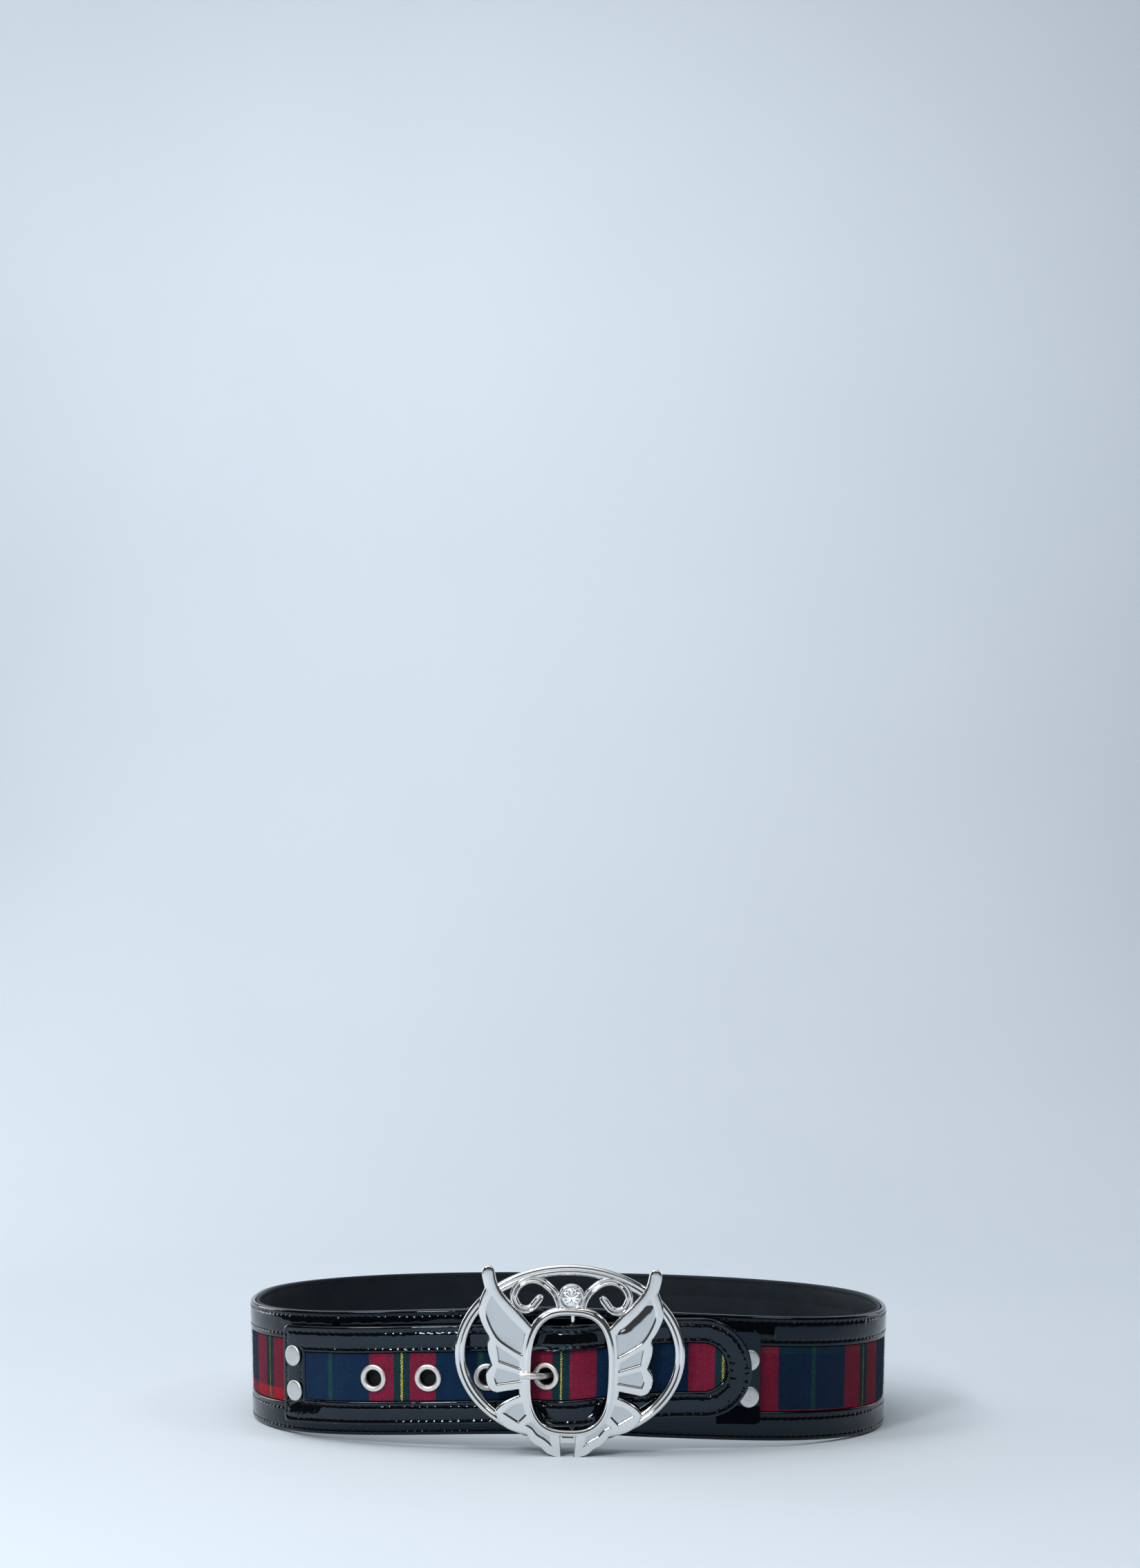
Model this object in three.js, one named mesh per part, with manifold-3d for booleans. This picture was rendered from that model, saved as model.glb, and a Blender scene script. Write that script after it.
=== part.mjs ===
// A wide tartan belt, fastened into a loop and standing on its lower edge.
// Millimetres, +Z up. The buckle faces -Y and the floor is z = 0.

import * as THREE from 'three';
import { mergeVertices } from 'three/addons/utils/BufferGeometryUtils.js';
import Module from 'manifold-3d';

const wasm = await Module();
wasm.setup();

// Driving dimensions.
const gap = 0.3;
const loop = { halfWidth: 141, halfDepth: 104, frontPower: 2.6, backPower: 2.2, stations: 56 };
const lift = { height: 6.5, centre: -7, reach: 150 };
const band = {
  width: 51, wall: 4, liningWall: 1.5, borderWidth: 12.2, tartanDrop: 0.5, softEdge: 0.6,
  leanLeft: 1.6, leanRight: 0.6, frontEnd: -7.8, hiddenRun: 45, cornerRadius: 5, stepIn: 4.4, stepRun: 32,
};
const strap = {
  halfWidth: 20.1, leftEnd: -124, tipCentre: 53.6, cornerRadius: 2.5, borderRise: 1.7,
  backing: 1.1, tartan: 0.9, windowLeft: -111.5, windowHalf: 9.8, windowShiftLeft: -0.6, windowShiftRight: 0.4,
  centreLeft: 25, centreRight: 29.9, riseFrom: -8, riseTo: 55,
};
const bar = { at: 2.2, radius: 1.1, offset: 3.1, lowEnd: 2.6, highEnd: 50.8 };
const chape = {
  thickness: 1.3, low: 6.5, high: 45.3, end: 79.3, cornerRadius: 3, backEnd: 62, lieStart: 14,
  slotHalf: 3.4, slotReach: 9,
};
const eyelet = { hole: 3.3, barrel: 0.5, flange: 5.7, sides: 12 };
const eyeletRow = [{ s: -78.4, h: 24.2 }, { s: -55.6, h: 24 }, { s: -31.7, h: 24.1 }, { s: -7.4, h: 25 }];
const rivet = {
  cap: 4.35, dome: 1.4, shank: 1.6, rightAt: 74.2, sides: 12, upper: 33.2, lower: 18.3,
  leftUpperAt: -117.2, leftLowerAt: -116.4, leftUpper: 32.7, leftLower: 18.2,
};
const buckle = {
  centreX: 1, centreZ: 33.4, turn: THREE.MathUtils.degToRad(0.9), plateBack: 8.4, plateFront: 11.4,
  bevel: 0.5, pocket: 0.6, rimBack: 7.8, rimFront: 12, openHalfX: 15.5, openHalfZ: 22.85, openPower: 2.8,
  rimWidth: 2.8, ringHalfX: 45.8, ringHalfZ: 35.5, ringZ: 7.45, ringWidth: 4.2, ringThick: 3.6, ringDepth: 9.3,
  scrollWire: 1.55, scrollDepth: 9.9,
};
const stone = { radius: 4, table: 2.4, z: 30.1, girdle: 10.9, crown: 1.3, pavilion: 2.2, facets: 12 };
const cup = { radius: 5.2, bore: 4.35, back: 7.8, front: 11.7 };
const prong = { radius: 1.25, loopOuter: 2.75, loopHalf: 2.4 };

// How far the strap's inner face stands off the wide band along its length.
const strapRise = [
  { at: -130, off: 0.3 }, { at: -104, off: 0.3 }, { at: -92, off: 1.2 }, { at: -17, off: 1.3 },
  { at: -2, off: 7.3 }, { at: 5, off: 7.3 }, { at: 15, off: 3.6 }, { at: 60, off: 3.7 }, { at: 90, off: 3.9 },
];
const strapBlend = 3;

// Right half of the cast butterfly, from the middle of the O: smooth runs that meet at corners.
const wing = {
  innerEdge: [[17, 20], [21, 24.4], [25, 28.4], [28.2, 32.2], [30, 36], [30.9, 40.2]],
  tip: [[32.2, 41.8], [34.4, 41.7], [35.7, 40]],
  fingerOuter: [[35.7, 37.2], [34.6, 32.8]],
  upperEdge: [[36.2, 28.5], [36.8, 24.5], [36.2, 21], [34.4, 16.8], [32.4, 13.7]],
  middleLobe: [[32.9, 11], [32.6, 7.5], [31.2, 2.9]],
  lowerLobe: [[32.8, 0.6], [33.2, -2.4], [32.4, -5.8], [30.9, -7.8], [28.6, -8.6]],
  slot: [[20, -7], [19.8, -9.2]],
  lowerWing: [[22, -10], [26, -12.2], [28.7, -14.8], [28.9, -17], [27, -20.5], [23, -23.3], [16.4, -24.8]],
  tail: [[15.5, -26.6], [13.2, -28.8], [10.6, -30.1], [8, -32.3], [5.4, -33.3], [2.4, -34.5]],
};
const wingRoot = [[3.1, -25], [3.1, -21], [12, -14], [12, 15]];
const panels = {
  upperWing: [[31.6, 30.8], [27.4, 25.3], [22.5, 20.3], [17.9, 15.9], [19, 6.5], [24, 9.3], [29.3, 13.3],
    [33.2, 20.5], [33.7, 25.5]],
  middle: [[29.4, 10.7], [19.6, 4.4], [19.4, 0.9], [28.2, 3.8]],
  lowerLobe: [[28.7, 1.6], [19.2, -1], [19.2, -3.9], [28.9, -5.4], [29.9, -2]],
  lowerWing: [[18, -12.2], [16.6, -17], [19.8, -20.3], [26.2, -16.4], [22.3, -13.3]],
  tail: [[14.6, -19.4], [17.2, -21], [14.5, -22.5], [12.3, -25], [9.5, -26.6], [6.2, -29.2], [7, -25],
    [10.8, -22.8]],
};
const scroll = [
  [4.6, 25.5], [5.2, 28.2], [6.8, 31.5], [9.5, 34.2], [12, 35.9], [15.2, 36.7], [18.6, 36], [21.4, 33.8],
  [22.8, 30.5], [22.2, 27.4], [20.3, 25.3], [17.8, 24.7], [15.5, 25.8], [13.7, 28], [11.7, 30.5],
];
// The prong's middle line: sideways place, depth in front of the loop's front and rise above its eye.
const prongLine = [
  [0.6, 2.7, 0], [-3.6, 2.8, 0], [-6.2, 4.2, 0], [-7.9, 6.8, 0.1], [-9.8, 9.7, 0.3], [-13.2, 13, 0.8],
  [-16.2, 13.6, 1], [-18.7, 13.4, 1],
];

// Materials.
const finish = (color, roughness, metalness) => new THREE.MeshStandardMaterial({ color, roughness, metalness });
const patent = finish(0x0b0c10, 0.12, 0);
const liningLeather = finish(0x14161b, 0.7, 0);
const tartanCloth = finish(0x1d2c4c, 0.9, 0);
const silver = finish(0xd9dadb, 0.15, 1);
const crystal = finish(0xf4f8fc, 0.05, 0);

// Solid helpers.
function faceOutward(geometry) {
  const p = geometry.attributes.position;
  const index = geometry.index.array;
  const corner = (i) => new THREE.Vector3().fromBufferAttribute(p, index[i]);
  let volume = 0;
  for (let i = 0; i < index.length; i += 3) volume += corner(i).dot(corner(i + 1).cross(corner(i + 2)));
  if (volume < 0) {
    for (let i = 0; i < index.length; i += 3) [index[i], index[i + 1]] = [index[i + 1], index[i]];
  }
  return geometry;
}

// Joins equal rings of points into one body: a strip with two end caps, or a closed ring.
function loft(rings, closed = false) {
  const size = rings[0].length;
  const index = [];
  const spans = closed ? rings.length : rings.length - 1;
  for (let i = 0; i < spans; i++) {
    const here = i * size;
    const next = ((i + 1) % rings.length) * size;
    for (let k = 0; k < size; k++) {
      const m = (k + 1) % size;
      index.push(here + k, here + m, next + m, here + k, next + m, next + k);
    }
  }
  if (!closed) {
    const end = (rings.length - 1) * size;
    for (let k = 1; k < size - 1; k++) index.push(0, k + 1, k, end, end + k, end + k + 1);
  }
  const geometry = new THREE.BufferGeometry();
  geometry.setFromPoints(rings.flat());
  geometry.setIndex(index);
  return faceOutward(geometry);
}

function toSolid(geometry) {
  const bare = geometry.clone();
  bare.deleteAttribute('normal');
  bare.deleteAttribute('uv');
  const merged = mergeVertices(bare, 1e-4);
  return new wasm.Manifold(new wasm.Mesh({
    numProp: 3,
    vertProperties: Float32Array.from(merged.attributes.position.array),
    triVerts: Uint32Array.from(merged.index.array),
  }));
}

function toGeometry(solid) {
  const mesh = solid.getMesh();
  const geometry = new THREE.BufferGeometry();
  geometry.setAttribute('position', new THREE.BufferAttribute(new Float32Array(mesh.vertProperties), 3));
  geometry.setIndex(new THREE.BufferAttribute(new Uint32Array(mesh.triVerts), 1));
  return geometry;
}

function cut(geometry, cutters) {
  let solid = toSolid(geometry);
  for (const cutter of cutters) solid = solid.subtract(toSolid(cutter));
  return toGeometry(solid);
}

function join(geometries) {
  return geometries.map(toSolid).reduce((whole, piece) => whole.add(piece));
}

// The loop seen from above: a rounded oval, cut into equal steps from the front centre leftwards.
function loopStations() {
  const samples = 2880;
  const curve = [];
  for (let i = 0; i <= samples; i++) {
    const angle = -Math.PI / 2 - (i / samples) * 2 * Math.PI;
    const c = Math.cos(angle);
    const s = Math.sin(angle);
    const power = 2 / (s < 0 ? loop.frontPower : loop.backPower);
    const x = loop.halfWidth * Math.sign(c) * Math.abs(c) ** power;
    curve.push(new THREE.Vector2(x, loop.halfDepth * Math.sign(s) * Math.abs(s) ** power));
  }
  const reach = [0];
  for (let i = 1; i <= samples; i++) reach.push(reach[i - 1] + curve[i].distanceTo(curve[i - 1]));
  const length = reach[samples];
  const points = [];
  for (let k = 0, i = 1; k < loop.stations; k++) {
    const want = (k * length) / loop.stations;
    while (reach[i] < want) i++;
    points.push(curve[i - 1].clone().lerp(curve[i], (want - reach[i - 1]) / (reach[i] - reach[i - 1])));
  }
  const stations = points.map((point, k) => {
    const before = points[(k + loop.stations - 1) % loop.stations];
    const after = points[(k + 1) % loop.stations];
    const along = after.clone().sub(before).normalize();
    const side = (1 + point.x / loop.halfWidth) / 2;
    return {
      point,
      normal: new THREE.Vector2(-along.y, along.x),
      lift: frontLift(point),
      lean: THREE.MathUtils.lerp(band.leanLeft, band.leanRight, side),
    };
  });
  return { length, stations };
}

// The buckle's feet hold the front of the band a little above the floor.
function frontLift(point) {
  if (point.y >= 0) return 0;
  const side = Math.sign(point.x - lift.centre) || 1;
  const share = (point.x - lift.centre) / (side * lift.reach - lift.centre);
  return lift.height * Math.max(0, 1 - share ** 2) ** 2;
}

const round = loopStations();
const step = round.length / loop.stations;

// A point of the wall: s runs rightwards from the front centre, off is outward, h is up from the lower edge.
function place(s, off, h) {
  const count = loop.stations;
  const along = (((-s / step) % count) + count) % count;
  const k = Math.floor(along) % count;
  const corner = (station) => {
    const out = off + station.lean * (h / band.width - 1);
    const { point, normal } = station;
    return new THREE.Vector3(point.x + normal.x * out, point.y + normal.y * out, h + station.lift);
  };
  return corner(round.stations[k]).lerp(corner(round.stations[(k + 1) % count]), along - Math.floor(along));
}

// Distances along the wall from one end to the other: the stations between, and any that a piece adds.
function stops(from, to, extras = []) {
  const fixed = [from, ...extras, to].sort((a, b) => a - b);
  const list = [...fixed];
  for (let k = Math.ceil(from / step); k * step < to; k++) {
    if (fixed.every((s) => Math.abs(s - k * step) > 0.6)) list.push(k * step);
  }
  return list.sort((a, b) => a - b);
}

function strip(list, section) {
  return loft(list.map((s) => section(s).map(([off, h]) => place(s, off, h))));
}

const smooth = (share) => {
  const t = THREE.MathUtils.clamp(share, 0, 1);
  return t * t * (3 - 2 * t);
};
// How much a rounded corner takes off the height at a distance from the end.
const cornerDrop = (distance, radius) => (
  distance >= radius ? 0 : radius - Math.sqrt(Math.max(0, radius ** 2 - (radius - distance) ** 2))
);
const cornerStops = (end, radius, inward) => [0.08, 0.4, 1].map((share) => end + inward * radius * share);

// The wide band: one open strip, whose left end lies over the hidden right end.
const bandFrom = -(round.length + band.hiddenRun);
const bandTo = band.frontEnd;
const stepAt = -(round.length - band.stepRun);
const bandStops = stops(bandFrom, bandTo, [
  ...cornerStops(bandFrom, band.cornerRadius, 1),
  ...cornerStops(bandTo, band.cornerRadius, -1),
  stepAt - band.stepRun * 0.25, stepAt - band.stepRun * 0.75,
]);
const bandInset = (s) => -band.stepIn * smooth((stepAt - s) / band.stepRun);
const bandDrop = (s) => cornerDrop(Math.min(s - bandFrom, bandTo - s), band.cornerRadius);
const borderInner = -band.wall + band.liningWall + gap;

function liningSection(s) {
  const d = bandInset(s);
  const drop = bandDrop(s);
  const inner = d - band.wall;
  const outer = inner + band.liningWall;
  const e = band.softEdge;
  const low = drop;
  const high = band.width - drop;
  return [[inner, low + e], [inner + e, low], [outer, low], [outer, high], [inner + e, high], [inner, high - e]];
}

function upperBorderSection(s) {
  const d = bandInset(s);
  const high = band.width - bandDrop(s);
  const e = band.softEdge;
  const low = band.width - band.borderWidth;
  return [[d + borderInner, low], [d, low], [d, high - e], [d - e, high], [d + borderInner, high]];
}

function lowerBorderSection(s) {
  const d = bandInset(s);
  const low = bandDrop(s);
  const e = band.softEdge;
  const high = band.borderWidth;
  return [[d + borderInner, low], [d - e, low], [d, low + e], [d, high], [d + borderInner, high]];
}

function tartanSection(s) {
  const d = bandInset(s);
  const low = band.borderWidth + gap;
  const high = band.width - band.borderWidth - gap;
  const outer = d - band.tartanDrop;
  return [[d + borderInner, low], [outer, low], [outer, high], [d + borderInner, high]];
}

// The narrow strap: its rise over the buckle's bar, and its middle line.
function strapOffset(s) {
  const parts = 6;
  let sum = 0;
  for (let i = 0; i < parts; i++) {
    const x = s + strapBlend * ((2 * i + 1) / parts - 1);
    const k = strapRise.findIndex((row) => row.at > x);
    const share = (x - strapRise[k - 1].at) / (strapRise[k].at - strapRise[k - 1].at);
    sum += THREE.MathUtils.lerp(strapRise[k - 1].off, strapRise[k].off, share);
  }
  return sum / parts;
}
const strapCentre = (s) => THREE.MathUtils.lerp(
  strap.centreLeft, strap.centreRight, smooth((s - strap.riseFrom) / (strap.riseTo - strap.riseFrom)),
);
const windowShift = (s) => THREE.MathUtils.lerp(strap.windowShiftLeft, strap.windowShiftRight, smooth((s + 40) / 50));
const strapFace = { tartan: strap.backing + gap, border: strap.backing + gap };
const strapTop = strapFace.border + strap.borderRise;

// Half the height of a strip with a round right end.
const roundEnd = (s, half) => (
  s <= strap.tipCentre ? half : Math.sqrt(Math.max(0, half ** 2 - (s - strap.tipCentre) ** 2))
);
const tipStops = (half) => [19, 37, 54, 70, 85].map(
  (degrees) => strap.tipCentre + half * Math.sin(THREE.MathUtils.degToRad(degrees)),
);
const humpStops = [-19, -14.5, -5, -1, 4.5, 8, 12, 16];

function strapStrip({ from, half, low, high, cornerRadius = 0, shift = () => 0 }) {
  const tip = tipStops(half);
  const corners = cornerRadius ? cornerStops(from, cornerRadius, 1) : [];
  const extras = [...corners, -104, -92, ...humpStops, strap.tipCentre, ...tip.slice(0, -1)];
  const list = stops(from, tip[tip.length - 1], extras);
  return strip(list, (s) => {
    const reach = roundEnd(s, half) - cornerDrop(s - from, cornerRadius);
    const middle = strapCentre(s) + shift(s);
    const base = strapOffset(s);
    return [[base + low, middle - reach], [base + high, middle - reach],
      [base + high, middle + reach], [base + low, middle + reach]];
  });
}

// Stands a piece turned about its Y axis on a sloping face, with Y along the outward normal.
function standOn(offsetAt, s, h) {
  const d = 0.5;
  const along = place(s + d, offsetAt(s + d), h).sub(place(s - d, offsetAt(s - d), h));
  const up = place(s, offsetAt(s), h + d).sub(place(s, offsetAt(s), h - d));
  const normal = along.cross(up).normalize();
  const turn = new THREE.Quaternion().setFromUnitVectors(new THREE.Vector3(0, 1, 0), normal);
  return new THREE.Matrix4().compose(place(s, offsetAt(s), h), turn, new THREE.Vector3(1, 1, 1));
}

function pegHole(matrix, radius, from, to, sides = 8) {
  const peg = new THREE.CylinderGeometry(radius, radius, to - from, sides);
  peg.translate(0, (from + to) / 2, 0);
  return peg.applyMatrix4(matrix);
}

const profile = (rows) => rows.map(([r, y]) => new THREE.Vector2(r, y));

// Eyelets: a barrel through the strap with a flange at each face.
const eyeletPlaces = eyeletRow.map(({ s, h }) => standOn(strapOffset, s, h));
function eyeletGeometry() {
  const top = strapFace.tartan + strap.tartan + 0.4;
  const r = eyelet.hole;
  const f = eyelet.flange;
  return new THREE.LatheGeometry(profile([
    [r, -0.8], [r + 1.7, -0.8], [r + 1.7, -0.4], [r + eyelet.barrel, -0.4], [r + eyelet.barrel, top],
    [f, top], [f - 0.3, top + 0.7], [f - 1.1, top + 1.1], [r, top + 0.5], [r, -0.8],
  ]), eyelet.sides);
}

// Rivets: a domed cap, a shank through the layers and a flat cap inside.
function rivetGeometry(capBase, inner) {
  const half = rivet.cap * 0.72;
  return new THREE.LatheGeometry(profile([
    [0, inner - 0.7], [half, inner - 0.7], [half, inner], [rivet.shank, inner], [rivet.shank, capBase],
    [rivet.cap, capBase], [rivet.cap, capBase + 0.4], [rivet.cap * 0.78, capBase + 1], [0, capBase + rivet.dome],
  ]), rivet.sides);
}
const rivetRows = [
  { name: 'rivet_left_lower', s: rivet.leftLowerAt, h: rivet.leftLower, over: gap + strapTop },
  { name: 'rivet_left_upper', s: rivet.leftUpperAt, h: rivet.leftUpper, over: gap + strapTop },
  { name: 'rivet_right_lower', s: rivet.rightAt, h: rivet.lower, over: gap + chape.thickness },
  { name: 'rivet_right_upper', s: rivet.rightAt, h: rivet.upper, over: gap + chape.thickness },
].map((row) => ({ ...row, matrix: standOn(() => 0, row.s, row.h) }));
const leftPegs = rivetRows.slice(0, 2).map((row) => pegHole(row.matrix, rivet.shank + gap, -6, 8));
const rightPegs = rivetRows.slice(2).map((row) => pegHole(row.matrix, rivet.shank + gap, -6, 8));

// The chape: a leather tab folded round the bar, its front leaf riveted to the band.
function chapeLine() {
  const t = chape.thickness;
  const radius = bar.radius + gap + t / 2;
  const back = bar.offset - radius;
  const lie = back + t + gap;
  const line = [chape.backEnd, 46, 30, chape.lieStart, 6].map((s) => [s, back]);
  for (let i = 0; i <= 6; i++) {
    const angle = -Math.PI / 2 - (i / 6) * Math.PI;
    line.push([bar.at + radius * Math.cos(angle), bar.offset + radius * Math.sin(angle)]);
  }
  for (const share of [0.3, 0.65]) {
    const s = THREE.MathUtils.lerp(bar.at, chape.lieStart, share);
    line.push([s, THREE.MathUtils.lerp(bar.offset + radius, lie, smooth(share))]);
  }
  line.push([chape.lieStart, lie], [30, lie], [46, lie], [chape.backEnd - 3, lie]);
  const low = gap + t / 2;
  line.push([chape.backEnd + 5, low + 0.3], [chape.backEnd + 8, low]);
  const corners = cornerStops(chape.end, chape.cornerRadius, -1).reverse();
  for (const s of [...corners, chape.end]) line.push([s, low]);
  return line;
}

function chapeGeometry() {
  const line = chapeLine().map(([x, y]) => new THREE.Vector2(x, y));
  const rings = line.map((point, i) => {
    const before = line[Math.max(0, i - 1)];
    const after = line[Math.min(line.length - 1, i + 1)];
    const along = after.clone().sub(before).normalize().multiplyScalar(chape.thickness / 2);
    const left = [point.x - along.y, point.y + along.x];
    const right = [point.x + along.y, point.y - along.x];
    const atTab = i > line.length / 2;
    const drop = atTab ? cornerDrop(chape.end - point.x, chape.cornerRadius) : 0;
    const low = chape.low + drop;
    const high = chape.high - drop;
    return [place(...left, low), place(...right, low), place(...right, high), place(...left, high)];
  });
  const slot = strip([bar.at - 8, bar.at, bar.at + chape.slotReach], () => {
    const middle = eyeletRow[3].h;
    const ends = [middle - chape.slotHalf, middle + chape.slotHalf];
    return [[-3, ends[0]], [12, ends[0]], [12, ends[1]], [-3, ends[1]]];
  });
  return cut(loft(rings), [slot, ...rightPegs]);
}

// Buckle: its own flat frame, x to the right, y up and depth towards the viewer.
const buckleFrame = new THREE.Matrix4()
  .makeTranslation(buckle.centreX, -loop.halfDepth, buckle.centreZ)
  .multiply(new THREE.Matrix4().makeRotationY(buckle.turn))
  .multiply(new THREE.Matrix4().makeRotationX(Math.PI / 2));
const mirrored = (points, side) => points.map(([x, y]) => new THREE.Vector2(side * x, y));

function plateOutline(side) {
  const shape = new THREE.Shape();
  const root = mirrored(wingRoot, side);
  shape.moveTo(root[3].x, root[3].y);
  let first = true;
  for (const run of Object.values(wing)) {
    const points = mirrored(run, side);
    if (first || run === wing.slot) {
      for (const p of points.slice(0, run === wing.slot ? 2 : 1)) shape.lineTo(p.x, p.y);
    }
    if (run !== wing.slot) shape.splineThru(first ? points.slice(1) : points);
    first = false;
  }
  for (const p of root.slice(0, 3)) shape.lineTo(p.x, p.y);
  shape.closePath();
  return shape;
}

function plate(side) {
  const b = buckle.bevel;
  const geometry = new THREE.ExtrudeGeometry(plateOutline(side), {
    depth: buckle.plateFront - buckle.plateBack - 2 * b,
    curveSegments: 1,
    bevelThickness: b,
    bevelSize: b,
    bevelOffset: -b,
    bevelSegments: 1,
  });
  return geometry.translate(0, 0, buckle.plateBack + b).applyMatrix4(buckleFrame);
}

function pocket(points, side) {
  const geometry = new THREE.ExtrudeGeometry(new THREE.Shape(mirrored(points, side)), {
    depth: 3, bevelEnabled: false,
  });
  return geometry.translate(0, 0, buckle.plateFront - buckle.pocket).applyMatrix4(buckleFrame);
}

// A superellipse in the buckle's plane.
function ovalPoint(angle, halfX, halfY, power) {
  const c = Math.cos(angle);
  const s = Math.sin(angle);
  const x = halfX * Math.sign(c) * Math.abs(c) ** (2 / power);
  return new THREE.Vector2(x, halfY * Math.sign(s) * Math.abs(s) ** (2 / power));
}

// A moulded ring round an oval: the section lists how far out each corner is, from 0 to 1, and its depth.
function ovalRing(inner, outer, power, centreY, steps, section) {
  const rings = [];
  for (let i = 0; i < steps; i++) {
    const angle = (i / steps) * 2 * Math.PI;
    const a = ovalPoint(angle, inner[0], inner[1], power);
    const b = ovalPoint(angle, outer[0], outer[1], power);
    rings.push(section.map(([share, depth]) => {
      const p = a.clone().lerp(b, share);
      return new THREE.Vector3(p.x, p.y + centreY, depth).applyMatrix4(buckleFrame);
    }));
  }
  return loft(rings, true);
}

const circleSection = (middle, radius, sides) => Array.from({ length: sides }, (_, i) => {
  const angle = ((i + 0.5) / sides) * 2 * Math.PI;
  return [0.5 + 0.5 * Math.cos(angle), middle + radius * Math.sin(angle)];
});

function rimRing() {
  const { openHalfX, openHalfZ, rimWidth, rimBack, rimFront } = buckle;
  const inside = 0.3;
  return ovalRing(
    [openHalfX - inside, openHalfZ - inside], [openHalfX + rimWidth, openHalfZ + rimWidth], buckle.openPower, 0, 36,
    [[0, rimBack + 0.5], [0.2, rimBack], [1, rimBack], [1, rimFront - 1.3], [0.75, rimFront - 0.2],
      [0.4, rimFront], [0, rimFront - 1]],
  );
}

function outerRing() {
  const { ringHalfX, ringHalfZ, ringWidth } = buckle;
  return ovalRing(
    [ringHalfX - ringWidth, ringHalfZ - ringWidth], [ringHalfX, ringHalfZ], 2,
    buckle.ringZ, 44, circleSection(buckle.ringDepth, buckle.ringThick / 2, 6),
  );
}

function tube(points, radius, steps, sides) {
  const section = new THREE.Shape(Array.from({ length: sides }, (_, i) => {
    const angle = ((i + 0.5) / sides) * 2 * Math.PI;
    return new THREE.Vector2(radius * Math.cos(angle), radius * Math.sin(angle));
  }));
  const curve = new THREE.CatmullRomCurve3(points, false, 'centripetal');
  return new THREE.ExtrudeGeometry(section, { steps, bevelEnabled: false, extrudePath: curve });
}

function scrollTube(side) {
  const points = mirrored(scroll, side).map((p) => new THREE.Vector3(p.x, p.y, buckle.scrollDepth));
  return tube(points, buckle.scrollWire, 18, 6).applyMatrix4(buckleFrame);
}

function stoneCup() {
  const geometry = new THREE.LatheGeometry(profile([
    [0, cup.back], [cup.radius, cup.back], [cup.radius, cup.front - 0.4], [cup.radius - 0.3, cup.front],
    [cup.bore, cup.front], [cup.bore, stone.girdle - 0.5], [0, stone.girdle - stone.pavilion - 0.5],
  ]), 12);
  return geometry.rotateX(Math.PI / 2).translate(0, stone.z, 0).applyMatrix4(buckleFrame);
}

// The bar that the chape folds round: behind the strap, bent forward into the rim at both ends.
function centreBar() {
  const low = place(bar.at, bar.offset, bar.lowEnd);
  const high = place(bar.at, bar.offset, bar.highEnd);
  const frontY = -(loop.halfDepth + buckle.rimBack + 0.8);
  const lowFront = new THREE.Vector3(low.x, frontY, low.z);
  const highFront = new THREE.Vector3(high.x, frontY, high.z);
  const rod = (from, to) => {
    const length = from.distanceTo(to);
    const turn = new THREE.Quaternion().setFromUnitVectors(
      new THREE.Vector3(0, 1, 0), to.clone().sub(from).normalize(),
    );
    const geometry = new THREE.CylinderGeometry(bar.radius, bar.radius, length, 8);
    return geometry.applyMatrix4(new THREE.Matrix4().compose(
      from.clone().lerp(to, 0.5), turn, new THREE.Vector3(1, 1, 1),
    ));
  };
  const elbow = (at) => new THREE.SphereGeometry(bar.radius, 8, 4).translate(at.x, at.y, at.z);
  return [rod(low, high), rod(low, lowFront), rod(high, highFront), elbow(low), elbow(high)];
}

function buckleGeometry() {
  const sides = [-1, 1];
  let solid = join([
    ...sides.map(plate), ...sides.map(scrollTube), outerRing(), rimRing(), stoneCup(),
  ]);
  for (const side of sides) {
    for (const points of Object.values(panels)) solid = solid.subtract(toSolid(pocket(points, side)));
  }
  const opening = new THREE.Shape(Array.from({ length: 36 }, (_, i) => (
    ovalPoint((i / 36) * 2 * Math.PI, buckle.openHalfX, buckle.openHalfZ, buckle.openPower)
  )));
  const through = new THREE.ExtrudeGeometry(opening, { depth: 20, bevelEnabled: false }).applyMatrix4(buckleFrame);
  solid = solid.subtract(toSolid(through));
  const bowl = new THREE.CylinderGeometry(cup.bore, cup.bore, 4, 12).rotateX(Math.PI / 2);
  bowl.translate(0, stone.z, stone.girdle + 1.5).applyMatrix4(buckleFrame);
  solid = solid.subtract(toSolid(bowl));
  for (const piece of centreBar()) solid = solid.add(toSolid(piece));
  const floor = new THREE.BoxGeometry(200, 200, 20).translate(0, -loop.halfDepth, -10);
  return toGeometry(solid.subtract(toSolid(floor)));
}

function stoneGeometry() {
  const geometry = new THREE.LatheGeometry(profile([
    [0, stone.girdle - stone.pavilion], [stone.radius, stone.girdle], [stone.radius, stone.girdle + 0.3],
    [stone.table, stone.girdle + stone.crown], [0, stone.girdle + stone.crown],
  ]), stone.facets);
  return geometry.rotateX(Math.PI / 2).translate(0, stone.z, 0).applyMatrix4(buckleFrame);
}

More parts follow.
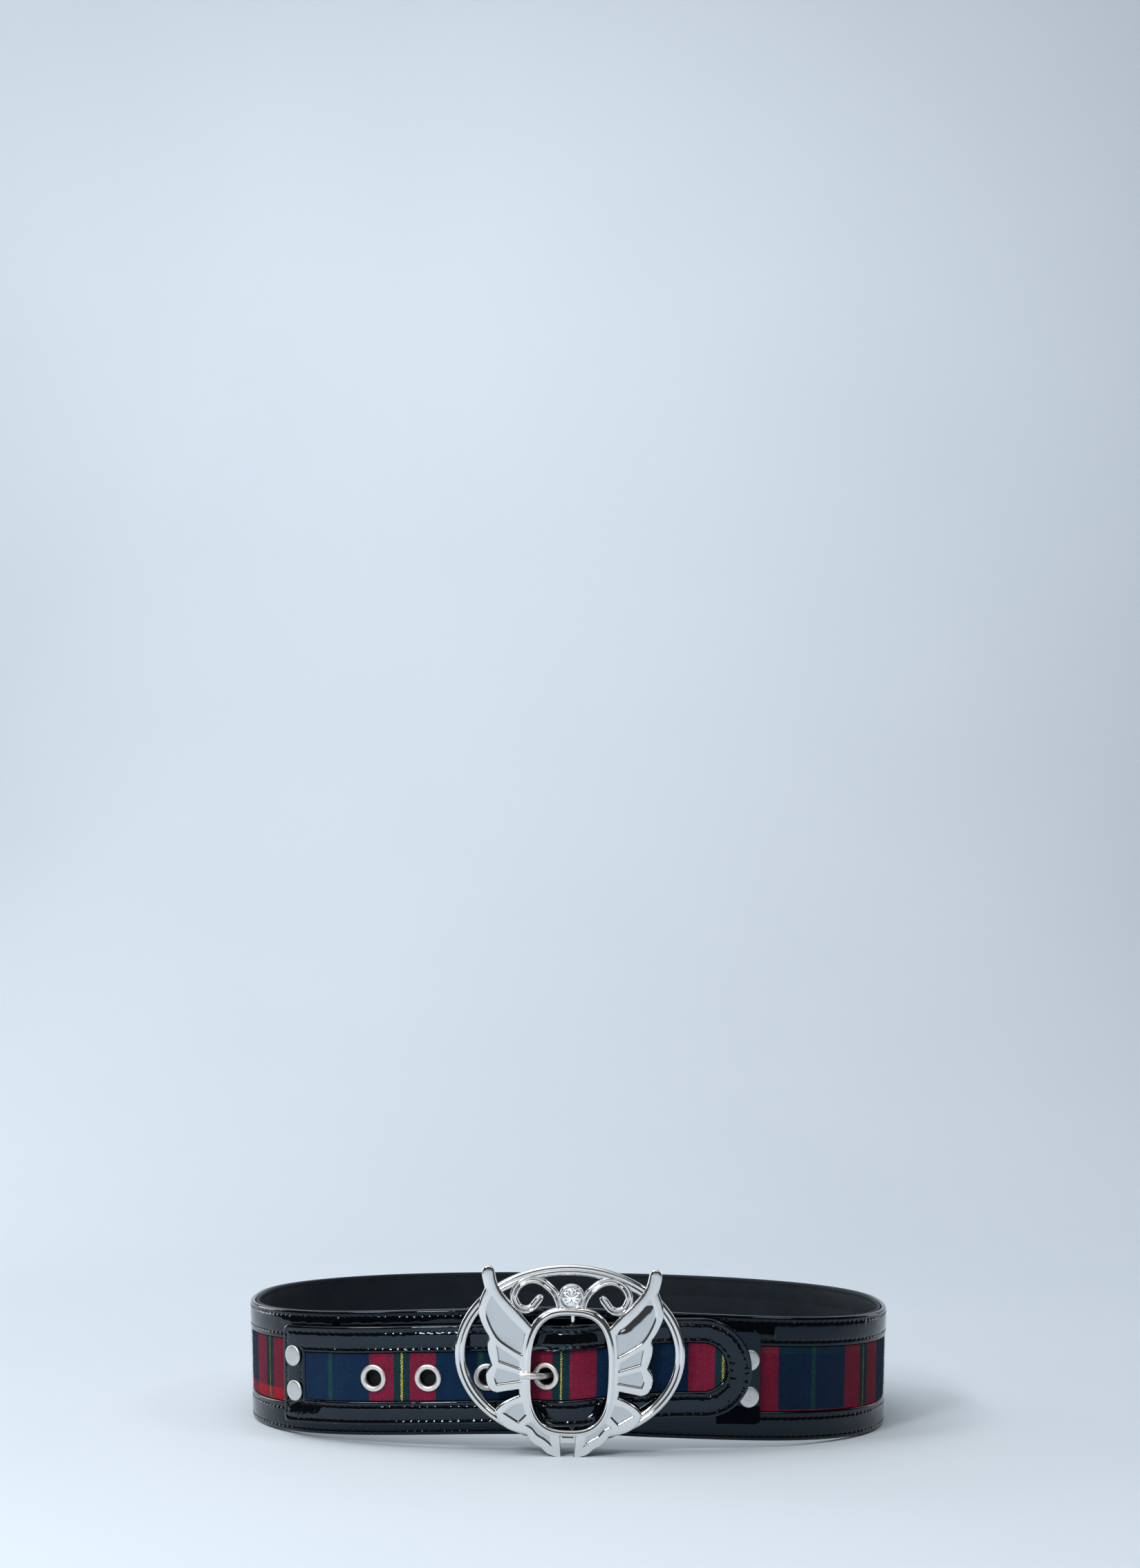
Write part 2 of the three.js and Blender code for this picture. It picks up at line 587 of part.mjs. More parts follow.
// The prong: a loop round the bar and a rod through the last eyelet onto the rim.
function prongGeometry() {
  const z = new THREE.Vector3().setFromMatrixPosition(eyeletPlaces[3]).z;
  const heart = place(bar.at, bar.offset, z - lift.height);
  const shape = new THREE.Shape().absarc(0, 0, prong.loopOuter, 0, 2 * Math.PI);
  shape.holes.push(new THREE.Path().absarc(0, 0, bar.radius + gap, 0, 2 * Math.PI));
  const eye = new THREE.ExtrudeGeometry(shape, {
    depth: 2 * prong.loopHalf, curveSegments: 6, bevelEnabled: false,
  }).translate(heart.x, heart.y, z - prong.loopHalf);
  const points = prongLine.map(([x, depth, rise]) => new THREE.Vector3(x, -(loop.halfDepth + depth), z + rise));
  const bore = new THREE.CylinderGeometry(bar.radius + gap, bar.radius + gap, 12, 10).rotateX(Math.PI / 2);
  bore.translate(heart.x, heart.y, z);
  return toGeometry(join([eye, tube(points, prong.radius, 13, 6)]).subtract(toSolid(bore)));
}

// Assembly.
const belt = new THREE.Group();
belt.name = 'tartan_belt';

function addPiece(name, geometry, material, matrix) {
  const mesh = new THREE.Mesh(geometry, material);
  mesh.name = name;
  if (matrix) matrix.decompose(mesh.position, mesh.quaternion, mesh.scale);
  belt.add(mesh);
}

const allPegs = [...leftPegs, ...rightPegs];
addPiece('lining', cut(strip(bandStops, liningSection), allPegs), liningLeather);
addPiece('tartan_panel', cut(strip(bandStops, tartanSection), allPegs), tartanCloth);
addPiece('upper_border', strip(bandStops, upperBorderSection), patent);
addPiece('lower_border', strip(bandStops, lowerBorderSection), patent);

const eyeletHoles = eyeletPlaces.map((matrix) => (
  pegHole(matrix, eyelet.hole + eyelet.barrel + gap, -3, 6, eyelet.sides)
));
const strapForm = { from: strap.leftEnd, half: strap.halfWidth, cornerRadius: strap.cornerRadius };
const windowForm = { from: strap.windowLeft, half: strap.windowHalf, shift: windowShift };
const backing = strapStrip({ ...strapForm, low: 0, high: strap.backing });
const frame = strapStrip({ ...strapForm, low: strapFace.border, high: strapTop });
const opening = strapStrip({ ...windowForm, low: strapFace.border - 2, high: strapTop + 2 });
const panel = strapStrip({
  ...windowForm, from: strap.windowLeft + gap, half: strap.windowHalf - gap,
  low: strapFace.tartan, high: strapFace.tartan + strap.tartan,
});
addPiece('strap_backing', cut(backing, [...eyeletHoles, ...leftPegs]), liningLeather);
addPiece('strap_tartan', cut(panel, eyeletHoles), tartanCloth);
addPiece('strap_border', cut(frame, [opening, ...leftPegs]), patent);

eyeletPlaces.forEach((matrix, i) => addPiece(`eyelet_${i + 1}`, eyeletGeometry(), silver, matrix));
for (const row of rivetRows) {
  addPiece(row.name, cut(rivetGeometry(row.over + gap, -band.wall - gap), []), silver, row.matrix);
}
addPiece('chape', chapeGeometry(), patent);
addPiece('buckle_frame', buckleGeometry(), silver);
addPiece('prong', prongGeometry(), silver);
addPiece('crystal', cut(stoneGeometry(), []), crystal);

// The origin is on the floor at the middle of the footprint.
const reach = new THREE.Box3().setFromObject(belt, true);
belt.position.set(-(reach.min.x + reach.max.x) / 2, -(reach.min.y + reach.max.y) / 2, -reach.min.z);

export default belt;
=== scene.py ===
import math
import bpy
import numpy as np
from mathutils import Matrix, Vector
from mathutils.geometry import delaunay_2d_cdt


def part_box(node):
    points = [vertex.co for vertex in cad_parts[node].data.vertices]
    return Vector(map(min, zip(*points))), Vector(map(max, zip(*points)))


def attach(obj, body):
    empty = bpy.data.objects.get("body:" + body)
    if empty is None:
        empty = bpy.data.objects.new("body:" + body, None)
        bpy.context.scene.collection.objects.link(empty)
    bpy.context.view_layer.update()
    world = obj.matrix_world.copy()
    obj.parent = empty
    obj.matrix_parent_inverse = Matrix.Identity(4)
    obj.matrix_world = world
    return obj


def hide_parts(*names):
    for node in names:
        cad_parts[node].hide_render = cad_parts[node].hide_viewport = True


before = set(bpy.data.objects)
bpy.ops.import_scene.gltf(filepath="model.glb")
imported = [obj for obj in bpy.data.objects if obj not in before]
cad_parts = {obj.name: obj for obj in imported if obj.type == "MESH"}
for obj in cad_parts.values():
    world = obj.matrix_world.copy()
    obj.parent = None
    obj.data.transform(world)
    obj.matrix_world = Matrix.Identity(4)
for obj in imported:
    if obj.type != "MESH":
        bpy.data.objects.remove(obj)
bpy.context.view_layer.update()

print("frame loaded:", len(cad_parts), "solids")

# the buckle's place and turn; all work is in millimetres on the belt, and shiftX, shiftY bring it onto the solids
buckleForm = {"centreX": 1.0, "centreZ": 33.4, "turn": math.radians(0.9), "back": 8.4, "front": 11.5}
stoneForm = {"height": 30.1, "top": 12.2}
loopForm = {
    "halfWidth": 141.0, "halfDepth": 104.0, "frontPower": 2.6, "backPower": 2.2,
    "bulges": [(1.3, 95, 45), (-0.7, -118, -23)],  # how far outwards, from which x on and over which run
}
stoneLow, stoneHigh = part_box("crystal")
stoneX = buckleForm["centreX"] + stoneForm["height"] * math.sin(buckleForm["turn"])
shiftX = (stoneLow[0] + stoneHigh[0]) * 500 - stoneX
shiftY = stoneLow[1] * 1000 + loopForm["halfDepth"] + stoneForm["top"]


def addCamera():
    lens = {"focal": 45.321, "tilt": 89.16421, "roll": 0.6305, "shiftY": 0.200186, "away": 896.793, "up": 154.053}
    data = bpy.data.cameras.new("photoCamera")
    data.sensor_fit, data.sensor_height, data.lens = "VERTICAL", 36, lens["focal"]
    data.shift_y = lens["shiftY"]
    data.clip_start, data.clip_end = 0.01, 30
    camera = bpy.data.objects.new("photoCamera", data)
    camera.location = (0, (shiftY - lens["away"]) / 1000, lens["up"] / 1000)
    camera.rotation_mode = "ZYX"
    camera.rotation_euler = (math.radians(lens["tilt"]), 0, math.radians(lens["roll"]))
    bpy.context.scene.collection.objects.link(camera)
    bpy.context.scene.camera = camera


def addLight(name, at, towards, size, power):
    data = bpy.data.lights.new(name, "AREA")
    data.shape, data.size, data.size_y = "RECTANGLE", size[0], size[1]
    data.energy, data.color = power, (1.0, 0.99, 0.975)
    lamp = bpy.data.objects.new(name, data)
    lamp.location = at
    lamp.rotation_euler = (Vector(towards) - Vector(at)).to_track_quat("-Z", "Y").to_euler()
    lamp.visible_camera = False
    bpy.context.scene.collection.objects.link(lamp)


addCamera()
bpy.context.scene.view_settings.view_transform = "Standard"
world = bpy.data.worlds.new("room")
bpy.context.scene.world = world
world.use_nodes = True
room = world.node_tree.nodes["Background"]
room.inputs["Color"].default_value = (0.8, 0.84, 0.88, 1)
room.inputs["Strength"].default_value = 0.07

# the lamps: place, what they face, size and power, in metres and watts
beltMiddle = (0, 0, 0.03)
lamps = {
    "overheadSoftbox": ((-0.3, -0.12, 1.3), (-0.05, 0.05, 0), (1.9, 1.4), 11.6),
    "frontSoftbox": ((-0.1, -1.5, 1.15), beltMiddle, (1.6, 0.5), 2.0),
    "leftSoftbox": ((-1.0, -0.5, 1.2), beltMiddle, (0.4, 0.32), 4.2),
    "rightSoftbox": ((1.05, -0.45, 1.15), beltMiddle, (0.34, 0.24), 2.2),
    "glintLamp": ((-0.45, -0.85, 0.62), (0, -0.1, 0.03), (0.17, 0.17), 3.6),
    "backdropSoftbox": ((-0.35, 0.5, 1.5), (-0.15, 1.6, 1.25), (2.6, 0.5), 13),
    "backLeftSoftbox": ((-1.25, 0.75, 0.42), beltMiddle, (0.6, 0.75), 5.0),
    "backRightSoftbox": ((1.15, 0.75, 0.42), beltMiddle, (0.35, 0.75), 1.2),
}
for lampName, lampValues in lamps.items():
    addLight(lampName, *lampValues)
print("camera and lights placed")


def activate(piece):
    bpy.ops.object.select_all(action="DESELECT")
    piece.select_set(True)
    bpy.context.view_layer.objects.active = piece


def coordinates(piece):
    flat = np.empty(len(piece.data.vertices) * 3)
    piece.data.vertices.foreach_get("co", flat)
    return flat.reshape(-1, 3)


def setCoordinates(piece, places):
    piece.data.vertices.foreach_set("co", np.ascontiguousarray(places, float).ravel())
    piece.data.update()


# runs a mesh operator on the whole mesh of a piece
def edit(piece, operator, **settings):
    activate(piece)
    bpy.ops.object.mode_set(mode="EDIT")
    bpy.ops.mesh.select_all(action="SELECT")
    operator(**settings)
    bpy.ops.object.mode_set(mode="OBJECT")


# closes seams and ends, turns all faces outwards and smooths what is rounder than the angle
def closeUp(piece, fill=True, angle=40, merge=1e-6):
    edit(piece, bpy.ops.mesh.remove_doubles, threshold=merge)
    if fill:
        edit(piece, bpy.ops.mesh.fill_holes, sides=0)
    edit(piece, bpy.ops.mesh.normals_make_consistent, inside=False)
    bpy.ops.object.shade_smooth_by_angle(angle=math.radians(angle))
    return piece


# gives each vertex its place in the weave
def setWeave(piece, uv):
    corner = np.empty(len(piece.data.loops), int)
    piece.data.loops.foreach_get("vertex_index", corner)
    layer = piece.data.uv_layers[0] if piece.data.uv_layers else piece.data.uv_layers.new()
    layer.name = "weave"
    layer.uv.foreach_set("vector", uv[corner].ravel())


# a grid laid onto rows of points, as a strip, a tube or a ring; uv gives a second pair of numbers for each point
def skin(name, points, tube=True, ring=False, fill=True, angle=40, uv=None):
    if tube:
        points = np.concatenate([points, points[:, :1]], axis=1)
    if ring:
        points = np.concatenate([points, points[:1]], axis=0)
    rows, columns = points.shape[:2]
    bpy.ops.mesh.primitive_grid_add(x_subdivisions=columns - 1, y_subdivisions=rows - 1, size=2)
    piece = bpy.context.object
    piece.name = piece.data.name = name
    flat = coordinates(piece)
    row = np.rint((flat[:, 1] + 1) / 2 * (rows - 1)).astype(int)
    column = np.rint((flat[:, 0] + 1) / 2 * (columns - 1)).astype(int)
    setCoordinates(piece, points[row, column])
    if uv is not None:
        if tube:
            uv = np.concatenate([uv, uv[:, :1]], axis=1)
        setWeave(piece, uv[row, column])
    elif piece.data.uv_layers:
        piece.data.uv_layers.remove(piece.data.uv_layers[0])
    return closeUp(piece, fill, angle)


def newPiece(name, places, edges, faces):
    mesh = bpy.data.meshes.new(name)
    mesh.from_pydata([tuple(p) for p in places], edges, faces)
    piece = bpy.data.objects.new(name, mesh)
    bpy.context.scene.collection.objects.link(piece)
    return piece


def fromFaces(name, places, faces, angle=60, merge=1e-9):
    return closeUp(newPiece(name, places, [], faces), False, angle, merge)


def block(size):
    bpy.ops.mesh.primitive_cube_add(size=1)
    piece = bpy.context.object
    setCoordinates(piece, coordinates(piece) * size)
    return piece


def joined(first, *others):
    activate(first)
    for other in others:
        other.select_set(True)
    bpy.ops.object.join()
    return first


def cutAway(piece, cutter):
    activate(piece)
    hole = piece.modifiers.new("hole", "BOOLEAN")
    hole.operation, hole.object = "DIFFERENCE", cutter
    bpy.ops.object.modifier_apply(modifier=hole.name)
    bpy.data.objects.remove(cutter)


def unit(v):
    return v / np.linalg.norm(v, axis=-1, keepdims=True)


def leftOf(v):
    return np.stack([-v[:, 1], v[:, 0]], axis=-1)


def reachAlong(line):
    return np.append(0, np.cumsum(np.linalg.norm(np.diff(line, axis=0), axis=1)))


# the columns of a table of pairs, laid across the rows of a strip
def columnsOf(table):
    return (np.array(column)[None] for column in zip(*table))


def smoothStep(share):
    t = np.clip(share, 0, 1)
    return t * t * (3 - 2 * t)


# nothing below 0, then as large as the value itself, with a soft corner between
def softRamp(value, softness):
    return softness * np.log1p(np.exp(np.clip(value / softness, -30, 30)))


# a slow even wander between -1 and 1, for leather that isn't quite flat
def wander(x, length, seed=0.0):
    t = np.asarray(x) * 2 * math.pi / length
    return (np.sin(t + seed) + 0.6 * np.sin(1.73 * t + 2.1 * seed + 1) + 0.4 * np.sin(2.91 * t + 3.7 * seed)) / 2


def finishPiece(piece, material, slot, *nodes):
    if not piece.data.materials:
        piece.data.materials.append(material)
    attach(piece, "root")
    if nodes:
        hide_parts(*nodes)
    return piece


liftForm = {"height": 6.5, "centre": -7.0, "reach": 150.0}
bandForm = {
    "width": 51.0, "wall": 4.0, "border": 12.2, "leanLeft": 1.6, "leanRight": 0.6, "frontEnd": -7.8,
    "hiddenRun": 45.0, "corner": 5.0, "stepIn": 4.4, "stepRun": 32.0,
}


# the wall's line in even steps, and the direction out of it
def wallTable(steps=3120, apart=4):
    angle = -math.pi / 2 - np.linspace(0, 2 * math.pi, 7201)
    c, s = np.cos(angle), np.sin(angle)
    power = 2 / np.where(s < 0, loopForm["frontPower"], loopForm["backPower"])
    x = loopForm["halfWidth"] * np.sign(c) * np.abs(c) ** power
    y = loopForm["halfDepth"] * np.sign(s) * np.abs(s) ** power
    reach = np.append(0, np.cumsum(np.hypot(np.diff(x), np.diff(y))))
    even = np.linspace(0, reach[-1], steps + 1)
    x, y = np.interp(even, reach, x), np.interp(even, reach, y)
    x = x + sum(out * smoothStep((x - start) / run) for out, start, run in loopForm["bulges"])
    alongX, alongY = (np.roll(v[:-1], -apart) - np.roll(v[:-1], apart) for v in (x, y))
    size = np.hypot(alongX, alongY)
    outX, outY = np.append(-alongY / size, 0), np.append(alongX / size, 0)
    outX[-1], outY[-1] = outX[0], outY[0]
    return even, (x, y, outX, outY)


wallReach, wallColumns = wallTable()
loopLength = wallReach[-1]


# a point of the wall: s rightwards from the front's middle, off outwards, h up from the lower edge
def place(s, off, h):
    s, off, h = np.broadcast_arrays(*(np.asarray(v, float) for v in (s, off, h)))
    x, y, outX, outY = (np.interp(-s % loopLength, wallReach, column) for column in wallColumns)
    side = (1 + x / loopForm["halfWidth"]) / 2
    lean = bandForm["leanLeft"] + (bandForm["leanRight"] - bandForm["leanLeft"]) * side
    out = off + lean * (h / bandForm["width"] - 1)
    middle = liftForm["centre"]
    share = (x - middle) / (np.where(x >= middle, 1, -1) * liftForm["reach"] - middle)
    lift = np.where(y < 0, liftForm["height"] * np.maximum(0, 1 - share ** 2) ** 2, 0)
    return np.stack([x + outX * out + shiftX, y + outY * out + shiftY, h + lift], axis=-1) / 1000


def bandInset(s):
    return -bandForm["stepIn"] * smoothStep((-(loopLength - bandForm["stepRun"]) - s) / bandForm["stepRun"])


def cornerDrop(distance, radius):
    inner = np.clip(radius - distance, 0, radius)
    return radius - np.sqrt(np.maximum(0, radius ** 2 - inner ** 2))


bandFrom, bandTo = -(loopLength + bandForm["hiddenRun"]), bandForm["frontEnd"]


def bandDrop(s):
    return cornerDrop(np.minimum(s - bandFrom, bandTo - s), bandForm["corner"])


# stops along the band, closer together at its two rounded ends and in fineRuns
def bandStops(step, fineRuns=(), fineStep=0.0):
    ends = np.array([0, 0.02, 0.06, 0.14, 0.28])
    at = np.linspace(bandFrom + 0.5, bandTo - 0.5, 4001)
    steps = np.full(len(at), float(step))
    for low, high in fineRuns:
        steps[(at > low) & (at < high)] = fineStep
    reach = np.append(0, np.cumsum(np.diff(at) / steps[1:]))
    middle = np.interp(np.linspace(0, reach[-1], int(reach[-1])), reach, at)
    return np.concatenate([bandFrom + ends, middle, (bandTo - ends)[::-1]])


sewing = {
    "pitch": 3.1, "bandRows": (2.15, 9.8), "groove": 0.1, "grooveWidth": 0.34, "dip": 0.11, "dipWidth": 1.2,
    "pucker": 0.3, "puckerWidth": 0.5, "puckerLength": 0.62, "puckerInset": 0.12, "uneven": 0.45,
    "threadLength": 2.2, "threadRadius": 0.22, "slant": 0.3, "slantSpread": 0.03,
    "secondPhase": 0.37, "insidePhase": 0.21,  # how far the other rows' stitches lag behind the first row's
}


# how far the leather is drawn in at a distance from a row of stitches; share runs from stitch to stitch
def drawnIn(distance, share):
    fromHole = (share - np.round(share)) * sewing["pitch"]
    hole = np.exp(-(fromHole / sewing["puckerLength"]) ** 2)
    hole = hole * np.exp(-((distance + sewing["puckerInset"]) / sewing["puckerWidth"]) ** 2)
    return -(
        sewing["groove"] * np.exp(-(distance / sewing["grooveWidth"]) ** 2)
        + sewing["dip"] * np.exp(-(distance / sewing["dipWidth"]) ** 2)
        + sewing["pucker"] * (0.75 + sewing["uneven"] * wander(share, 5.3, 0.4)) * hole
    )


# a long low swelling beside a row: it climbs from start to crest and falls again to end
def swelling(distance, start, crest, end):
    return smoothStep((distance - start) / (crest - start)) * (1 - smoothStep((distance - crest) / (end - crest)))


# 1 between two places along a strip, with ends as soft as given
def stretch(s, low, high, soft=3.0):
    return smoothStep((s - low) / soft) * smoothStep((high - s) / soft)


# one stitch, a short fat thread whose ends go into the leather, as points and faces along X
def threadShape():
    bpy.ops.mesh.primitive_cylinder_add(
        vertices=6, radius=1, depth=2, end_fill_type="NOTHING", rotation=(0, math.pi / 2, 0))
    thread = bpy.context.object
    bpy.ops.object.transform_apply(location=False, rotation=True, scale=False)
    for cut in (-0.5, 0.5):
        edit(thread, bpy.ops.mesh.bisect, plane_co=(cut, 0, 0), plane_no=(1, 0, 0))
    edit(thread, bpy.ops.mesh.fill_holes, sides=0)
    places = coordinates(thread)
    end = np.abs(places[:, 0]) > 0.9
    places[end, 1:] *= 0.55
    places[end, 2] -= 1.3
    places *= (sewing["threadLength"] / 2, sewing["threadRadius"], sewing["threadRadius"])
    faces = [tuple(face.vertices) for face in thread.data.polygons]
    bpy.data.objects.remove(thread)
    return places / 1000, faces


threadPlaces, threadFaces = threadShape()


# rows of stitches in one mesh; each row gives its centres and the directions along it and out of the leather
def stitches(name, rows):
    centres, along, out = (np.concatenate(part) for part in zip(*rows))
    along = unit(along)
    out = unit(out - along * (out * along).sum(1, keepdims=True))
    across = np.cross(out, along)
    turn = np.sin(np.arange(len(centres)) * 12.9898) * sewing["slantSpread"] - sewing["slant"]
    across, along = across - turn[:, None] * along, along + turn[:, None] * across
    basis = np.stack([along, across, out], axis=1)
    places = np.einsum("ij,kjl->kil", threadPlaces, basis) + centres[:, None]
    count = len(threadPlaces)
    faces = [tuple(k * count + i for i in face) for k in range(len(centres)) for face in threadFaces]
    return fromFaces(name, places.reshape(-1, 3), faces)


def onBand(s):
    return 0 * s


# the direction along a face that stands off the wall by offset(s), and the direction out of it
def faceFrame(s, h, offset=onBand, reach=0.3):
    along = place(s + reach, offset(s + reach), h) - place(s - reach, offset(s - reach), h)
    up = place(s, offset(s), h + reach) - place(s, offset(s), h - reach)
    return along, np.cross(along, up)


# an input of a node is given a value or the socket that feeds it; the node joins the tree of the first socket
def addNode(kind, inputs, **settings):
    tree = next(value.id_data for value in inputs.values() if isinstance(value, bpy.types.NodeSocket))
    made = tree.nodes.new("ShaderNode" + kind)
    for key, value in settings.items():
        setattr(made, key, value)
    for key, value in inputs.items():
        if isinstance(value, bpy.types.NodeSocket):
            tree.links.new(value, made.inputs[key])
        else:
            made.inputs[key].default_value = value
    return made


def calculate(operation, *values):
    return addNode("Math", dict(enumerate(values)), operation=operation).outputs[0]


def mixValues(share, first, second):
    return addNode("Mix", {0: share, 2: first, 3: second}).outputs[0]


def mixColours(share, first, second, blend="MIX"):
    return addNode("Mix", {0: share, 6: first, 7: second}, data_type="RGBA", blend_type=blend).outputs[2]


def colourRamp(share, stops, interpolation="LINEAR"):
    made = addNode("ValToRGB", {"Fac": share})
    made.color_ramp.interpolation = interpolation
    elements = made.color_ramp.elements
    elements.remove(elements[1])
    elements[0].position, elements[0].color = stops[0][0], (*stops[0][1], 1)
    for position, colour in stops[1:]:
        elements.new(position).color = (*colour, 1)
    return made.outputs["Color"]


def newMaterial(name, sockets):
    material = bpy.data.materials.new(name)
    material.use_nodes = True
    shader = material.node_tree.nodes["Principled BSDF"]
    for key, value in sockets.items():
        shader.inputs[key].default_value = value
    return material, shader


def feed(shader, key, socket):
    shader.id_data.links.new(socket, shader.inputs[key])


def objectPlace(shader):
    return shader.id_data.nodes.new("ShaderNodeTexCoord").outputs["Object"]


def noiseOf(spot, scale, detail=2.0, rough=0.5):
    return addNode("TexNoise", {"Vector": spot, "Scale": scale, "Detail": detail, "Roughness": rough}).outputs["Fac"]


def spread(value, low, high):
    return addNode("MapRange", {"Value": value, "To Min": low, "To Max": high}).outputs["Result"]


def bumpOf(height, distance, strength=1.0, before=None):
    inputs = {"Height": height, "Distance": distance, "Strength": strength}
    if before is not None:
        inputs["Normal"] = before
    return addNode("Bump", inputs).outputs["Normal"]


patentLook = {
    "colour": (0.0006, 0.0008, 0.0014), "roughness": 0.025, "wave": 0.00003, "waveScale": 60, "streak": 0.000022,
    "streakScale": 210, "drawnOut": 0.12, "peel": 0.0000015, "peelScale": 900,
}


# the patent's own reflection is real, but its level per piece and the blue tint are painted reflection, set to how
# bright and blue each part looks
def patentMaterial(name, reflectionLevel, tint):
    look = patentLook
    material, shader = newMaterial(name, {"Specular IOR Level": reflectionLevel, "IOR": 1.5, "Specular Tint": (*tint, 1)})
    spot = objectPlace(shader)
    wide, fine = noiseOf(spot, look["waveScale"], 1), noiseOf(spot, look["peelScale"])
    drawnOut = addNode("Mapping", {"Vector": spot, "Scale": (1, 1, look["drawnOut"])}).outputs["Vector"]
    normal = bumpOf(wide, look["wave"])
    normal = bumpOf(noiseOf(drawnOut, look["streakScale"], 1), look["streak"], before=normal)
    feed(shader, "Normal", bumpOf(fine, look["peel"], before=normal))
    feed(shader, "Roughness", spread(wide, look["roughness"] * 0.5, look["roughness"] * 1.6))
    lighter = tuple(c * 1.8 for c in look["colour"])
    feed(shader, "Base Color", colourRamp(fine, [(0.3, look["colour"]), (0.75, lighter)]))
    return material


# the leather's blue specular tint is painted reflection colour
leatherLook = {"tint": (0.72, 0.86, 1.0), "crease": 0.00006, "creaseWidth": 0.18, "cloud": 0.0003, "cloudScale": 90}


def leatherMaterial(name, colour, roughness, cell):
    look = leatherLook
    sockets = {"Specular IOR Level": 0.3, "IOR": 1.48, "Specular Tint": (*look["tint"], 1)}
    material, shader = newMaterial(name, sockets)
    spot = objectPlace(shader)
    grain = addNode("TexVoronoi", {"Vector": spot, "Scale": 1000 / cell}, feature="DISTANCE_TO_EDGE").outputs[0]
    crease = addNode("MapRange", {"Value": grain, "From Max": look["creaseWidth"]}).outputs["Result"]
    cloud = noiseOf(spot, look["cloudScale"], 3)
    feed(shader, "Normal", bumpOf(cloud, look["cloud"], 0.5, bumpOf(crease, look["crease"], 0.8)))
    feed(shader, "Roughness", spread(cloud, roughness - 0.08, roughness + 0.1))
    darker = tuple(c * 0.55 for c in colour)
    feed(shader, "Base Color", colourRamp(cloud, [(0.3, darker), (0.7, colour)]))
    return material


# a 2/2 twill woven thread by thread from the sett: the warp's colours run up and down, the weft's across
tartanLook = {
    "thread": 0.24, "navy": (0.004, 0.036, 0.105), "green": (0.010, 0.060, 0.060), "line": (0.014, 0.115, 0.085),
    "red": (0.50, 0.014, 0.055), "weft": (0.010, 0.024, 0.055), "height": 51.0,
    "redHalf": 13.9, "greenHalf": 3.3, "yellowHalf": 0.26, "lineHalf": 1.05, "ridge": 0.00007, "fuzz": 0.00008,
}
# each tartan's own values: where a yellow line lies, how uneven the threads lie, how much of the warp shows where
# the weft is on top, and the weft's colours from the lower edge up
bandLook = {
    **tartanLook, "yellowAt": -140.7, "period": 62.75, "uneven": 0.46, "under": 0.12, "yellow": (0.5, 0.47, 0.14),
    "depth": 0.62, "wefts": [(0.0, (0.72, 0.018, 0.022)), (17.2, tartanLook["weft"]), (40.4, tartanLook["green"])],
}
strapLook = {
    **tartanLook, "yellowAt": -2.4, "period": 64.2, "uneven": 0.36, "under": 0.06, "yellow": (0.85, 0.80, 0.12),
    "depth": 0.9, "wefts": [(0.0, tartanLook["weft"])],
}


# the warp's colours over one period, with the yellow line in its middle
def warpStops(look):
    half = {key: look[key + "Half"] / look["period"] for key in ("line", "red", "green", "yellow")}
    stops = [(0.0, look["line"]), (half["line"], look["navy"])]
    stops += [(0.5 - half[key], look[key]) for key in ("red", "green", "yellow")]
    stops += [(0.5 + half[key], look[after]) for key, after in (("yellow", "green"), ("green", "red"), ("red", "navy"))]
    return stops + [(1 - half["line"], look["line"])]


